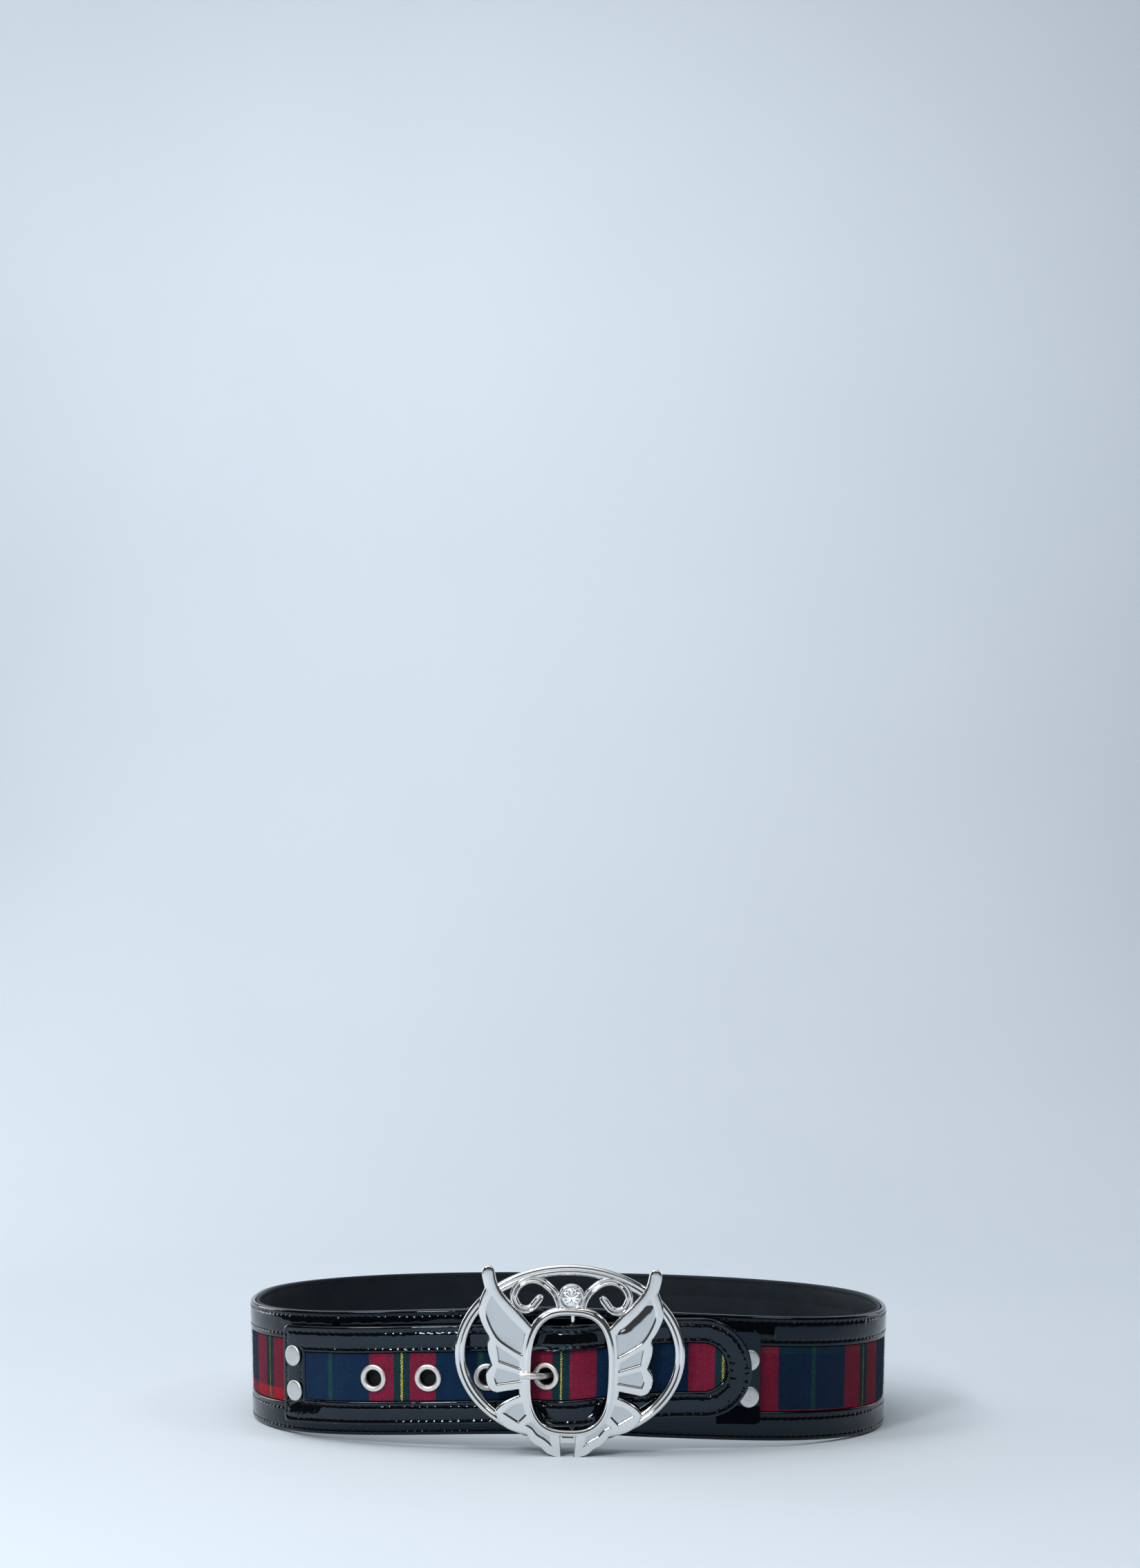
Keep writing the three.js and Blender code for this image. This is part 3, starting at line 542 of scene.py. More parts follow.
def tartanMaterial(name, look):
    material, shader = newMaterial(name, {
        "Roughness": 0.95, "Specular IOR Level": 0.08, "Sheen Weight": 0.06, "Sheen Roughness": 0.4})
    weave = shader.id_data.nodes.new("ShaderNodeUVMap")
    weave.uv_map = "weave"
    weave = addNode("SeparateXYZ", {0: weave.outputs["UV"]})
    spot = objectPlace(shader)
    fuzz, cloud = noiseOf(spot, 2600, 2, 0.7), noiseOf(spot, 160)
    threads = []
    for axis, scale in (("X", 1300), ("Y", 1150)):
        uneven = spread(noiseOf(spot, scale, 2, 0.6), -look["uneven"], look["uneven"])
        threads.append(calculate("DIVIDE", calculate("ADD", weave.outputs[axis], uneven), look["thread"]))
    warpIndex, weftIndex = (calculate("FLOOR", thread) for thread in threads)
    twill = calculate("FLOORED_MODULO", calculate("SUBTRACT", warpIndex, weftIndex), 4.0)
    warpShows = calculate("LESS_THAN", twill, 1.5)

    middle = calculate("MULTIPLY", calculate("ADD", warpIndex, 0.5), look["thread"])
    start = look["yellowAt"] - look["period"] / 2
    turns = calculate("DIVIDE", calculate("SUBTRACT", middle, start), look["period"])
    share = calculate("FLOORED_MODULO", turns, 1.0)
    warpColour = colourRamp(share, warpStops(look), "CONSTANT")
    wefts = [(height / look["height"], colour) for height, colour in look["wefts"]]
    weftColour = colourRamp(calculate("DIVIDE", weave.outputs["Y"], look["height"]), wefts, "CONSTANT")

    # each thread is a little lighter or darker than the next, and wool fuzz breaks both up
    warpTone, weftTone = (
        addNode("TexWhiteNoise", {"W": index}, noise_dimensions="1D").outputs["Value"]
        for index in (warpIndex, calculate("ADD", weftIndex, 57.3)))
    offYellow = calculate("ABSOLUTE", calculate("SUBTRACT", share, 0.5))
    plain = calculate("GREATER_THAN", offYellow, (look["yellowHalf"] + 0.12) / look["period"])
    under = calculate("MULTIPLY", plain, look["under"])
    woven = mixColours(calculate("MAXIMUM", warpShows, under), weftColour, warpColour)
    tone = spread(mixValues(warpShows, weftTone, warpTone), 0.8, 1.1)
    tone = calculate("ADD", tone, spread(fuzz, -1.0, 1.1))
    tone = calculate("MULTIPLY", tone, spread(cloud, 0.8 * look["depth"], 1.2 * look["depth"]))
    feed(shader, "Base Color", mixColours(1.0, woven, tone, "MULTIPLY"))

    warpRidge, weftRidge = (
        calculate("SINE", calculate("MULTIPLY", calculate("FRACT", thread), math.pi)) for thread in threads)
    normal = bumpOf(mixValues(warpShows, weftRidge, warpRidge), look["ridge"])
    feed(shader, "Normal", bumpOf(fuzz, look["fuzz"], 0.6, normal))
    return material


def metalMaterial(name, colour, roughness, ripple, scratch=0.0):
    material, shader = newMaterial(name, {"Base Color": (*colour, 1), "Metallic": 1.0})
    spot = objectPlace(shader)
    fine = noiseOf(spot, 1400, 3)
    normal = bumpOf(noiseOf(spot, 170, 1), ripple)
    if scratch:
        normal = bumpOf(fine, scratch, before=normal)
    feed(shader, "Normal", normal)
    feed(shader, "Roughness", spread(fine, roughness * 0.7, roughness * 1.4))
    return material


def threadMaterial():
    material, shader = newMaterial("waxedThread", {
        "Base Color": (0.0016, 0.0018, 0.0024, 1), "Roughness": 0.42, "Specular IOR Level": 0.3})
    twist = addNode("TexWave", {"Vector": objectPlace(shader), "Scale": 900.0, "Distortion": 1.0})
    feed(shader, "Normal", bumpOf(twist.outputs["Fac"], 0.00004))
    return material


# three copies of one patent that differ in reflection strength and blue tint: painted reflection, the strap made to
# reflect more than band and tab
bandPatent = patentMaterial("bandPatent", 0.4, (0.60, 0.80, 1.0))
strapPatent = patentMaterial("strapPatent", 0.62, (0.64, 0.82, 1.0))
tabPatent = patentMaterial("tabPatent", 0.45, (0.56, 0.76, 1.0))
liningLeather = leatherMaterial("liningLeather", (0.0075, 0.011, 0.0155), 0.5, 0.8)
backingLeather = leatherMaterial("backingLeather", (0.012, 0.0125, 0.015), 0.6, 0.6)
silver = metalMaterial("polishedSilver", (0.78, 0.775, 0.765), 0.085, 0.00004)
# the panel floors' darker, bluer silver is painted shade and painted reflection of the floor in the recesses
panelShadeSilver = metalMaterial("panelShadeSilver", (0.585, 0.60, 0.615), 0.1, 0.00007)
warmSilver = metalMaterial("eyeletSilver", (0.86, 0.83, 0.80), 0.4, 0.00003)
satinSilver = metalMaterial("satinSilver", (0.72, 0.72, 0.72), 0.42, 0.00002, 0.000012)
# the dark reddish brown inside the eyelets is painted shade in the holes
paintedBarrelShade = metalMaterial("eyeletBarrelShade", (0.16, 0.10, 0.075), 0.3, 0.00003)
threadBlack = threadMaterial()
bandTartan = tartanMaterial("bandTartan", bandLook)
strapTartan = tartanMaterial("strapTartan", strapLook)
print("materials made")

# the wide band: two patent borders folded over its edges, the tartan between them and the lining inside
borderForm = {
    "step": 0.62, "fineStep": 0.28, "fineRuns": [(-192, -40), (-740, -600)],
    "crown": 0.12, "wave": 0.05, "ripple": 0.03, "lowFold": 0.1,
    # long swellings of the upper border: height, then start, crest and end above the first row, and where along it
    "swellings": [
        (0.4, (0.1, 3.2, 4.6), (-105, -52, 12)), (0.8, (0, 3.3, 4.5), (-131, -88, 9)),
        (0.6, (0.1, 6.9, 7.6), (-765, -712.7, 1.0)), (0.2, (0, 1.3, 2.6), (-670, -667.4, 1.2)),
        (0.2, (0, 1.3, 2.6), (-664.6, -661.4, 1.2)),
    ],
}
# round a border, as how far out and how far from the band's edge
borderSection = [
    (-2.2, 12.2), (-2.2, 6.0), (-2.2, 0.5), (-1.95, 0.14), (-1.5, 0.0), (-1.0, 0.0), (-0.6, 0.12), (-0.28, 0.38),
    (-0.08, 0.8)]
borderSection += [(0, e) for e in (
    1.25, 1.6, 1.9, 2.15, 2.4, 2.7, 3.1, 3.7, 4.6, 6, 7.4, 8.2, 8.8, 9.2, 9.5, 9.8, 10.1, 10.45, 10.85, 11.3)]
borderSection += [(-0.07, 11.7), (-0.28, 12.0), (-0.7, 12.15), (-1.3, 12.2)]


def borderPiece(name, node, upper):
    f = borderForm
    s = bandStops(f["step"], f["fineRuns"], f["fineStep"])[:, None]
    off, e = columnsOf(borderSection)
    firstRow, secondRow = sewing["bandRows"]
    share = s / sewing["pitch"]
    face = smoothStep((off + 1.1) / 0.9)
    drawn = drawnIn(e - firstRow, share) + drawnIn(e - secondRow, share + sewing["secondPhase"])
    crown = f["crown"] * np.clip(1 - ((e - 6) / 4.2) ** 2, 0, 1)
    crown = crown + f["wave"] * wander(s, 47, e.mean()) + f["ripple"] * wander(s + e, 13)
    above = e - firstRow + 0.3 * wander(s, 9)
    if upper:
        swell = sum(size * swelling(above, *rise) * stretch(s, *run) for size, rise, run in f["swellings"])
    else:
        swell = f["lowFold"] * swelling(above, -3, -0.9, 0.2) * (0.5 + 0.5 * wander(s, 61))
    out = off + face * (drawn + crown + swell) + bandInset(s)
    h = bandDrop(s) + e * (1 - bandDrop(s) / bandForm["border"])
    h = bandForm["width"] - h if upper else h
    finishPiece(skin(name, place(s, out, h)), bandPatent, "patent_leather", node)


borderPiece("upperBorder", "upper_border", True)
borderPiece("lowerBorder", "lower_border", False)


def liningPiece():
    s = bandStops(0.78)[:, None]
    rows = [row for edge in sewing["bandRows"] for row in (edge, bandForm["width"] - edge)]
    faces = [0.9, 6, 16, 25.5, 35, 45, 50.1] + [row + d for row in rows for d in (-1.1, -0.55, 0, 0.55, 1.1)]
    section = [(-2.5, 0.25), (-2.5, 50.75), (-2.75, 50.95), (-3.2, 51.0), (-3.6, 50.9), (-3.88, 50.6)]
    section += [(-4.0, h) for h in sorted(faces, reverse=True)]
    section += [(-3.88, 0.4), (-3.6, 0.1), (-3.2, 0.0), (-2.75, 0.05)]
    off, h = columnsOf(section)
    face = smoothStep((-3.3 - off) / 0.6)
    drawn = sum(drawnIn(h - row, s / sewing["pitch"] + sewing["insidePhase"] * row) for row in rows)
    middle = bandForm["width"] / 2
    h = middle + (h - middle) * (1 - bandDrop(s) / middle)
    out = off + bandInset(s) - 0.7 * face * drawn + 0.05 * face * wander(s, 39)
    finishPiece(skin("liningBand", place(s, out, h)), liningLeather, "lining_leather", "lining")


liningPiece()

# the band's tartan; its pattern runs a little uneven round the loop
panelForm = {"low": 12.35, "high": 38.65, "step": 1.6, "round": 0.25, "wave": 0.1}
weaveForm = {
    "farAlong": 19.3, "farUp": 4.5, "farFrom": -200, "farRun": 400, "leftAlong": 11, "leftFrom": -121, "leftRun": 20,
}


# where a spot of the band's tartan lies in its weave
def weavePlace(s, h):
    f = weaveForm
    far = smoothStep((f["farFrom"] - s) / f["farRun"])
    along = s + f["farAlong"] * far + f["leftAlong"] * smoothStep((s - f["leftFrom"]) / f["leftRun"])
    return np.stack(np.broadcast_arrays(along, h + f["farUp"] * far), axis=-1)


def tartanPanelPiece():
    f = panelForm
    s = bandStops(f["step"])[:, None]
    low, high = f["low"], f["high"]
    section = [(-2.2, low), (-0.75, low), (-0.55, low + f["round"])]
    section += [(-0.5, h) for h in np.linspace(low, high, 15)[1:-1]]
    section += [(-0.55, high - f["round"]), (-0.75, high), (-2.2, high), (-2.2, 25.5)]
    off, h = columnsOf(section)
    out = off + bandInset(s) + smoothStep((off + 0.8) / 0.25) * (f["wave"] * wander(s, 31, 1.2) - 0.1)
    piece = skin("bandTartan", place(s, out, h), uv=weavePlace(s, h))
    finishPiece(piece, bandTartan, "tartan_cloth", "tartan_panel")


tartanPanelPiece()

# wool fuzz on the open part of the band's tartan: thin closed fibres with their roots in the cloth
napForm = {
    "count": 19000, "from": -716, "to": -125, "low": 12.8, "high": 38.2, "length": 1.1, "radius": 0.035,
    "root": -0.62, "seed": 7,
}


def napPiece():
    f = napForm
    chance = np.random.default_rng(f["seed"])
    s = chance.uniform(f["from"], f["to"], f["count"])
    h = chance.uniform(f["low"], f["high"], f["count"])
    spin = chance.uniform(0, 2 * math.pi, f["count"])[:, None]
    rise = chance.uniform(0.3, 0.85, f["count"])[:, None]
    length = f["length"] * chance.uniform(0.6, 1.2, f["count"])[:, None]
    root = place(s, bandInset(s) + f["root"], h)
    along, out = (unit(v) for v in faceFrame(s, h))
    lying = np.cos(spin) * along + np.sin(spin) * np.cross(along, out)
    lie = rise * out + np.sqrt(1 - rise ** 2) * lying
    across = unit(np.cross(lie, lying))
    beside = np.cross(lie, across)
    corners = [root + f["radius"] / 1000 * (math.cos(a) * across + math.sin(a) * beside) for a in (0, 2.0944, 4.18879)]
    places = np.stack(corners + [root + lie * length / 1000], axis=1).reshape(-1, 3)
    sides = ((0, 2, 1), (0, 1, 3), (1, 2, 3), (2, 0, 3))
    piece = fromFaces("bandNap", places, [tuple(4 * k + i for i in side) for k in range(f["count"]) for side in sides])
    setWeave(piece, np.repeat(weavePlace(s, h), 4, axis=0))
    finishPiece(piece, bandTartan, "tartan_cloth")


napPiece()


def bandStitches(name, inside):
    pitch = sewing["pitch"]
    index = np.arange(math.ceil((bandFrom + 4) / pitch), int((bandTo - 4) / pitch))
    rows = [*sewing["bandRows"], *(bandForm["width"] - row for row in sewing["bandRows"])]
    sewn = []
    for row, phase in zip(rows, (0, sewing["secondPhase"]) * 2):
        s = (index + 0.5 - (sewing["insidePhase"] * row % 1 if inside else phase)) * pitch
        off = bandInset(s) + (0.16 - bandForm["wall"] if inside else -0.2)
        along, out = faceFrame(s, row, lambda at: off)
        sewn.append((place(s, off, row), along, -out if inside else out))
    finishPiece(stitches(name, sewn), threadBlack, "lining_leather")


bandStitches("bandThread", False)
bandStitches("liningThread", True)
print("wide band modelled")

# the narrow strap: it lies on the band at the left and rises over the buckle's bar
strapForm = {
    "half": 20.1, "left": -124.0, "tip": 53.6, "corner": 2.5, "backing": 1.1, "top": 3.1, "windowLeft": -111.5,
    "windowHalf": 9.8, "shiftLeft": -0.6, "shiftRight": 0.4, "shiftFrom": -40, "shiftRun": 50, "centreLeft": 25.0,
    "centreRight": 29.9, "riseFrom": -8.0, "riseTo": 55.0, "outerRow": 2.3, "innerRow": 2.0, "rounding": 3.6,
}
# how far the strap stands off the wall along it
strapRise = [
    (-130, 0.3), (-104, 0.3), (-92, 1.2), (-17, 1.3), (-2, 7.3), (5, 7.3), (15, 3.6), (60, 3.7), (90, 3.9),
]


def strapOffset(s):
    at, off = zip(*strapRise)
    around = np.linspace(-strapForm["rounding"], strapForm["rounding"], 25)
    return np.mean([np.interp(np.asarray(s, float) + d, at, off) for d in around], axis=0)


def strapCentre(s):
    f = strapForm
    share = smoothStep((np.asarray(s) - f["riseFrom"]) / (f["riseTo"] - f["riseFrom"]))
    return f["centreLeft"] + (f["centreRight"] - f["centreLeft"]) * share


def windowShift(s):
    f = strapForm
    share = smoothStep((np.asarray(s) - f["shiftFrom"]) / f["shiftRun"])
    return f["shiftLeft"] + (f["shiftRight"] - f["shiftLeft"]) * share


# round the edge of a strip with a round right end, from its upper left corner on, in (s, height off the middle)
def stripLoop(left, half, r, step=0.31):
    tip, reach = strapForm["tip"], strapForm["half"]
    legs, arc, end = (int(size / step) for size in (tip - strapForm["left"], math.pi * reach, 2 * reach))
    turn = np.linspace(0, math.pi / 2, 7)[:-1]
    share = np.linspace(0, 1, legs, endpoint=False)
    bend = np.linspace(math.pi / 2, -math.pi / 2, arc, endpoint=False)
    rise = np.linspace(-1, 1, end, endpoint=False)
    start, top = left + r, half - r
    parts = [
        (start - r * np.cos(turn), top + r * np.sin(turn)), (start + (tip - start) * share, half + 0 * share),
        (tip + half * np.cos(bend), half * np.sin(bend)), (tip + (start - tip) * share, -half + 0 * share),
        (start - r * np.sin(turn), -top - r * np.cos(turn)), (left + 0 * rise, top * rise),
    ]
    return [np.stack(part, -1) for part in parts]


# the strap's outer edge and its window's edge, point for point, and how wide the frame is there
def frameLoops():
    f = strapForm
    outer = stripLoop(f["left"], f["half"], f["corner"])
    inner = stripLoop(f["windowLeft"], f["windowHalf"], 0)
    leg, strip = f["half"] - f["windowHalf"], f["windowLeft"] - f["left"]
    blend = np.linspace(0, 1, len(outer[0]))
    corners = (strip + (leg - strip) * blend, leg + (strip - leg) * blend)
    legs = [np.full(len(part), leg) for part in outer[1:4]]
    widths = [corners[0], *legs, corners[1], np.full(len(outer[5]), strip)]
    return np.concatenate(outer), np.concatenate(inner), np.concatenate(widths)


outerLoop, innerLoop, frameWidth = frameLoops()


# a line round the frame at a distance from its outer edge, and the share of the way from stitch to stitch along it
def frameLine(distance):
    share = (distance / frameWidth)[:, None]
    line = outerLoop + (innerLoop - outerLoop) * share
    length = reachAlong(np.append(line, line[:1], axis=0))
    count = round(length[-1] / sewing["pitch"])
    return line, length / length[-1] * count, share[:, 0], count


# round the frame: how far from its outer edge or from its window, and how high off the strap's back
frameOuter = [(0.35, 1.15), (0.05, 1.3), (0, 2.0), (0.06, 2.5), (0.25, 2.85), (0.6, 3.03)]
frameOuter += [(e, 3.1) for e in (1.05, 1.5, 1.9, 2.3, 2.65, 3.05, 3.6, 4.4)]
frameInner = [(e, 3.1) for e in (4.6, 3.8, 3.2, 2.75, 2.35, 2.0, 1.65, 1.25)]
frameInner += [(0.85, 3.06), (0.5, 2.92), (0.22, 2.66), (0.05, 2.3), (0, 1.75), (0.2, 1.42), (3.0, 1.42)]
frameSection = [(False, *spot) for spot in frameOuter] + [(True, *spot) for spot in frameInner] + [(False, 3.0, 1.42)]

# folds of the frame's leather: height, then start and reach across it; a run is from, to and softness along it
strapFolds = {
    "crown": 0.1, "wave": 0.05, "ripple": 0.03,
    "window": (0.26, 0.5, 1.5), "windowRun": (-113, 60), "edge": (0.24, 0.6, 1.7), "edgeRun": (-106, 70),
    "crest": 0.22, "crestAcross": (-2.6, -1.2, 0.1), "crestRun": (-62, 75),
    "overBar": (1.0, 0.25, 1.8), "overBarRun": (-15, -2, 1.5),
    "tilt": 0.2, "tiltFrom": 2.4, "tiltDown": 0.5, "tiltRun": (-21, 18, 7),
    "cornerCrease": 0.15, "cornerTilt": 0.2, "cornerTop": 17, "cornerRun": (-125, -101, 5),
    "tipCrease": 0.34, "tipRows": (2.6, 2.4), "tipWidth": 1.2, "tipRun": (46, 80, 8),
}


# a ridge along an edge, falling away from start on over its reach
def ridge(distance, size, start, reach):
    return size * (1 - smoothStep((distance - start) / reach))


# the folds at s, h, which is up from the strap's middle and e from the frame's outer edge
def strapSwell(s, h, up, e):
    f = strapFolds
    isUpper, isLower = smoothStep(up / 6), smoothStep(-up / 6)
    toWindow = frameWidth - e + 0.15 * wander(s, 7, 1.0)
    toEdge = e + 0.2 * wander(s, 8, 3.0)
    swell = ridge(toWindow, *f["window"]) * isUpper * stretch(s, *f["windowRun"])
    swell = swell + ridge(toEdge, *f["edge"]) * isLower * stretch(s, *f["edgeRun"])
    crest = f["crest"] * swelling(strapForm["outerRow"] - toEdge, *f["crestAcross"])
    swell = swell + crest * isUpper * stretch(s, *f["crestRun"])
    swell = swell + ridge(toWindow, *f["overBar"]) * isUpper * stretch(s, *f["overBarRun"])
    tilt = f["tilt"] * np.maximum(0, e - f["tiltFrom"]) - f["tiltDown"]
    swell = swell + tilt * isUpper * stretch(s, *f["tiltRun"])
    crease = f["cornerCrease"] * wander(s * 0.8 + h, 3.3, 1.7) * wander(s - h * 0.6, 5.1, 0.3)
    corner = stretch(s, *f["cornerRun"]) * smoothStep((f["cornerTop"] - h) / 4)
    swell = swell + (crease + f["cornerTilt"] * (10 - h)) * corner
    nearRows = sum(np.exp(-(((far - row) / f["tipWidth"]) ** 2)) for far, row in zip((toEdge, toWindow), f["tipRows"]))
    tipCrease = f["tipCrease"] * wander(h + 0.3 * s, 3.9, 0.9) * wander(s - 0.5 * h, 6.3, 2.2)
    return swell + tipCrease * nearRows * stretch(s, *f["tipRun"])


# the place on the strap's face at stitch k of a line round the frame
def onFrame(k, line, share, across, count):
    closed, closedAcross = np.append(line, line[:1], axis=0), np.append(across, across[:1])
    s, up, part = (np.interp(k % count, share, v) for v in (closed[:, 0], closed[:, 1], closedAcross))
    h = strapCentre(s) + up + windowShift(s) * part
    return s, h, place(s, strapOffset(s) + strapForm["top"] - 0.2, h)


def strapFramePiece():
    f = strapFolds
    rows = [frameLine(strapForm["outerRow"]), frameLine(frameWidth - strapForm["innerRow"])]
    columns = []
    for fromWindow, distance, off in frameSection:
        e = frameWidth - distance if fromWindow else distance + 0 * frameWidth
        share = (e / frameWidth)[:, None]
        s, up = (outerLoop + (innerLoop - outerLoop) * share).T
        h = strapCentre(s) + up + windowShift(s) * share[:, 0]
        drawn = drawnIn(e - strapForm["outerRow"], rows[0][1][:-1])
        drawn = drawn + drawnIn(frameWidth - e - strapForm["innerRow"], rows[1][1][:-1])
        crown = f["crown"] * np.clip(1 - ((e - frameWidth / 2) / 3.4) ** 2, 0, 1)
        crown = crown + f["wave"] * wander(s, 37, 2.0) + f["ripple"] * wander(s + h, 11)
        face = smoothStep((off - 2.2) / 0.7)
        columns.append(place(s, strapOffset(s) + off + face * (drawn + crown + strapSwell(s, h, up, e)), h))
    piece = skin("strapFrame", np.stack(columns, axis=1), ring=True)
    finishPiece(piece, strapPatent, "patent_leather", "strap_border")
    sewn = []
    for row in rows:
        at = np.arange(row[-1]) + 0.5
        s, h, here = onFrame(at, *row)
        along = onFrame(at + 0.2, *row)[2] - onFrame(at - 0.2, *row)[2]
        sewn.append((here, along, faceFrame(s, h, strapOffset)[1]))
    finishPiece(stitches("strapThread", sewn), threadBlack, "lining_leather")


strapFramePiece()


# half the height of a strip with a round right end
def roundEnd(s, half):
    return np.where(s <= strapForm["tip"], half, np.sqrt(np.maximum(0, half ** 2 - (s - strapForm["tip"]) ** 2)))


# a layer of the strap between two heights off its back
def strapLayer(name, start, half, low, high, corner, shift, step, edge=0.12):
    tip = strapForm["tip"]
    legs = np.linspace(start, tip, int((tip - start) / step))
    bend = tip + half * np.sin(np.linspace(0, math.pi / 2, 30))[1:-1]
    ends = [start, start + 0.1, start + 0.4, start + 1.0, tip + half - 0.002]
    s = np.sort(np.concatenate([ends, legs[1:], bend]))[:, None]
    section = [(high - edge, -1)] + [(high, x) for x in np.linspace(-1, 1, 15)[1:-1]]
    section += [(high - edge, 1), (low, 1), (low, 0), (low, -1)]
    off, share = columnsOf(section)
    reach = roundEnd(s, half) - cornerDrop(s - start, corner)
    h = strapCentre(s) + shift(s) + share * reach
    return skin(name, place(s, strapOffset(s) + off, h), uv=np.stack(np.broadcast_arrays(s, h), axis=-1))


strapBacking = strapLayer(
    "strapBacking", strapForm["left"], strapForm["half"] - 0.1, 0, strapForm["backing"], strapForm["corner"],
    onBand, 2.0)
strapTartanStrip = strapLayer(
    "strapTartan", strapForm["windowLeft"] + 0.15, strapForm["windowHalf"] - 0.15, 1.4, 2.3, 0.01, windowShift, 1.2)


# a frame that stands on a face, with Z outwards
def standing(s, h, offset):
    along, out = (unit(v) for v in faceFrame(s, h, offset, 0.5))
    return np.stack([along, np.cross(out, along), out, place(s, offset(s), h)], axis=-1)


# a small piece made in millimetres about Z, set down on such a frame
def setDown(piece, matrix):
    setCoordinates(piece, coordinates(piece) / 1000 @ matrix[:, :3].T + matrix[:, 3])
    return piece


# disc: radius of the dark disc painted as shade behind the first three eyelets; bottom: how deep it sits
eyeletForm = {
    "barrel": 3.8, "shadeDisc": 3.5, "bottom": -0.7, "ringFrom": 2.35,
    "places": [(-78.4, 24.2), (-55.6, 24.0), (-31.7, 24.1), (-7.4, 25.0)],
}
eyeletSection = [
    (3.3, -0.8), (5.0, -0.8), (5.1, -0.6), (5.0, -0.42), (3.8, -0.4), (3.8, 2.32), (5.3, 2.32), (5.5, 2.42),
    (5.55, 2.62), (5.5, 2.88), (5.36, 3.08), (5.1, 3.23), (4.7, 3.32), (4.3, 3.34), (3.95, 3.28), (3.7, 3.12),
    (3.5, 2.85), (3.36, 2.5), (3.3, 2.1),
]

eyeletPlaces = [standing(s, h, strapOffset) for s, h in eyeletForm["places"]]
for layer in (strapBacking, strapTartanStrip):
    for matrix in eyeletPlaces:
        bpy.ops.mesh.primitive_cylinder_add(vertices=40, radius=eyeletForm["barrel"] + 0.05, depth=16)
        cutAway(layer, setDown(bpy.context.object, matrix))
finishPiece(strapBacking, backingLeather, "lining_leather", "strap_backing")
finishPiece(strapTartanStrip, strapTartan, "tartan_cloth", "strap_tartan")


# a profile of radius and height turned round Z
def turned(name, profile, steps=72, closed=True, angle=40):
    count = len(profile)
    edges = [(i, (i + 1) % count) for i in range(count if closed else count - 1)]
    piece = newPiece(name, [(r, 0, z) for r, z in profile], edges, [])
    edit(piece, bpy.ops.mesh.spin, steps=steps, angle=2 * math.pi, center=(0, 0, 0), axis=(0, 0, 1))
    return closeUp(piece, False, angle, 1e-4)


# the first three eyelets get a dark disc of backing leather behind them, painted shade at the bottom of the hole; the
# prong goes through the last
def eyeletPiece(number, matrix):
    f = eyeletForm
    eyelet = turned(f"eyelet{number}", eyeletSection)
    if number < 4:
        bpy.ops.mesh.primitive_cylinder_add(vertices=36, radius=f["shadeDisc"], depth=0.3, location=(0, 0, f["bottom"]))
        shadeDisc = bpy.context.object
        bpy.ops.object.transform_apply(location=True, rotation=False, scale=False)
        joined(eyelet, shadeDisc)
    setDown(eyelet, matrix)
    finishPiece(eyelet, warmSilver, "polished_silver", f"eyelet_{number}")
    eyelet.data.materials.append(paintedBarrelShade)
    eyelet.data.materials.append(backingLeather)
    # faces low in the eyelet take the dark barrel colour, painted shade inside the hole
    heights = (coordinates(eyelet) - matrix[:, 3]) @ matrix[:, 2] * 1000
    for face in eyelet.data.polygons:
        if all(heights[i] < f["ringFrom"] for i in face.vertices):
            face.material_index = 1
        # the disc's faces take the dark backing leather: painted shade in the hole
        if number < 4 and abs(heights[list(face.vertices)].mean() - f["bottom"]) < 0.2:
            face.material_index = 2


for number, matrix in enumerate(eyeletPlaces, 1):
    eyeletPiece(number, matrix)

# the rivets: place along and up the band, and the height of the face below the cap
rivetPlaces = {
    "rivet_left_lower": (-116.4, 18.2, 3.4), "rivet_left_upper": (-117.2, 32.7, 3.4),
    "rivet_right_lower": (74.2, 18.3, 1.6), "rivet_right_upper": (74.2, 33.2, 1.6),
}
rivetCap = [
    (0, 1.06), (0.5, 1.06), (0.85, 1.05), (1.0, 1.02), (1.15, 1.045), (1.9, 1.035), (2.7, 1.01), (3.4, 0.96),
    (3.85, 0.88), (4.12, 0.74), (4.28, 0.5), (4.35, 0.22), (4.25, 0.0), (1.6, 0.0),
]
rivetFoot = [(1.6, -4.3), (2.8, -4.3), (3.05, -4.45), (3.1, -4.7), (2.7, -4.95), (0, -5.02)]
for node, (s, h, base) in rivetPlaces.items():
    side, level = node.split("_")[1:]
    profile = [(r, base + z + 0.3) for r, z in rivetCap] + rivetFoot
    rivet = turned("rivet" + side.capitalize() + level.capitalize(), profile, closed=False, angle=60)
    finishPiece(setDown(rivet, standing(s, h, onBand)), satinSilver, "polished_silver", node)
print("strap, eyelets and rivets modelled")

# the chape: a patent tab folded round the bar, its front leaf riveted to the band
chapeForm = {
    "thick": 1.3, "low": 6.5, "high": 45.3, "end": 79.3, "corner": 3.0, "barAt": 2.2, "barOff": 3.1,
    "barRadius": 1.1, "gap": 0.3, "wave": 0.04, "slot": (20, 6.8, 40),
    # the tab leans out below a height, and bulges a little at another
    "lean": 0.14, "leanBelow": 15.5, "leanSoft": 0.7, "bulge": 0.3, "bulgeAt": 24.5, "bulgeReach": 3.5, "bulgeFrom": 56,
}


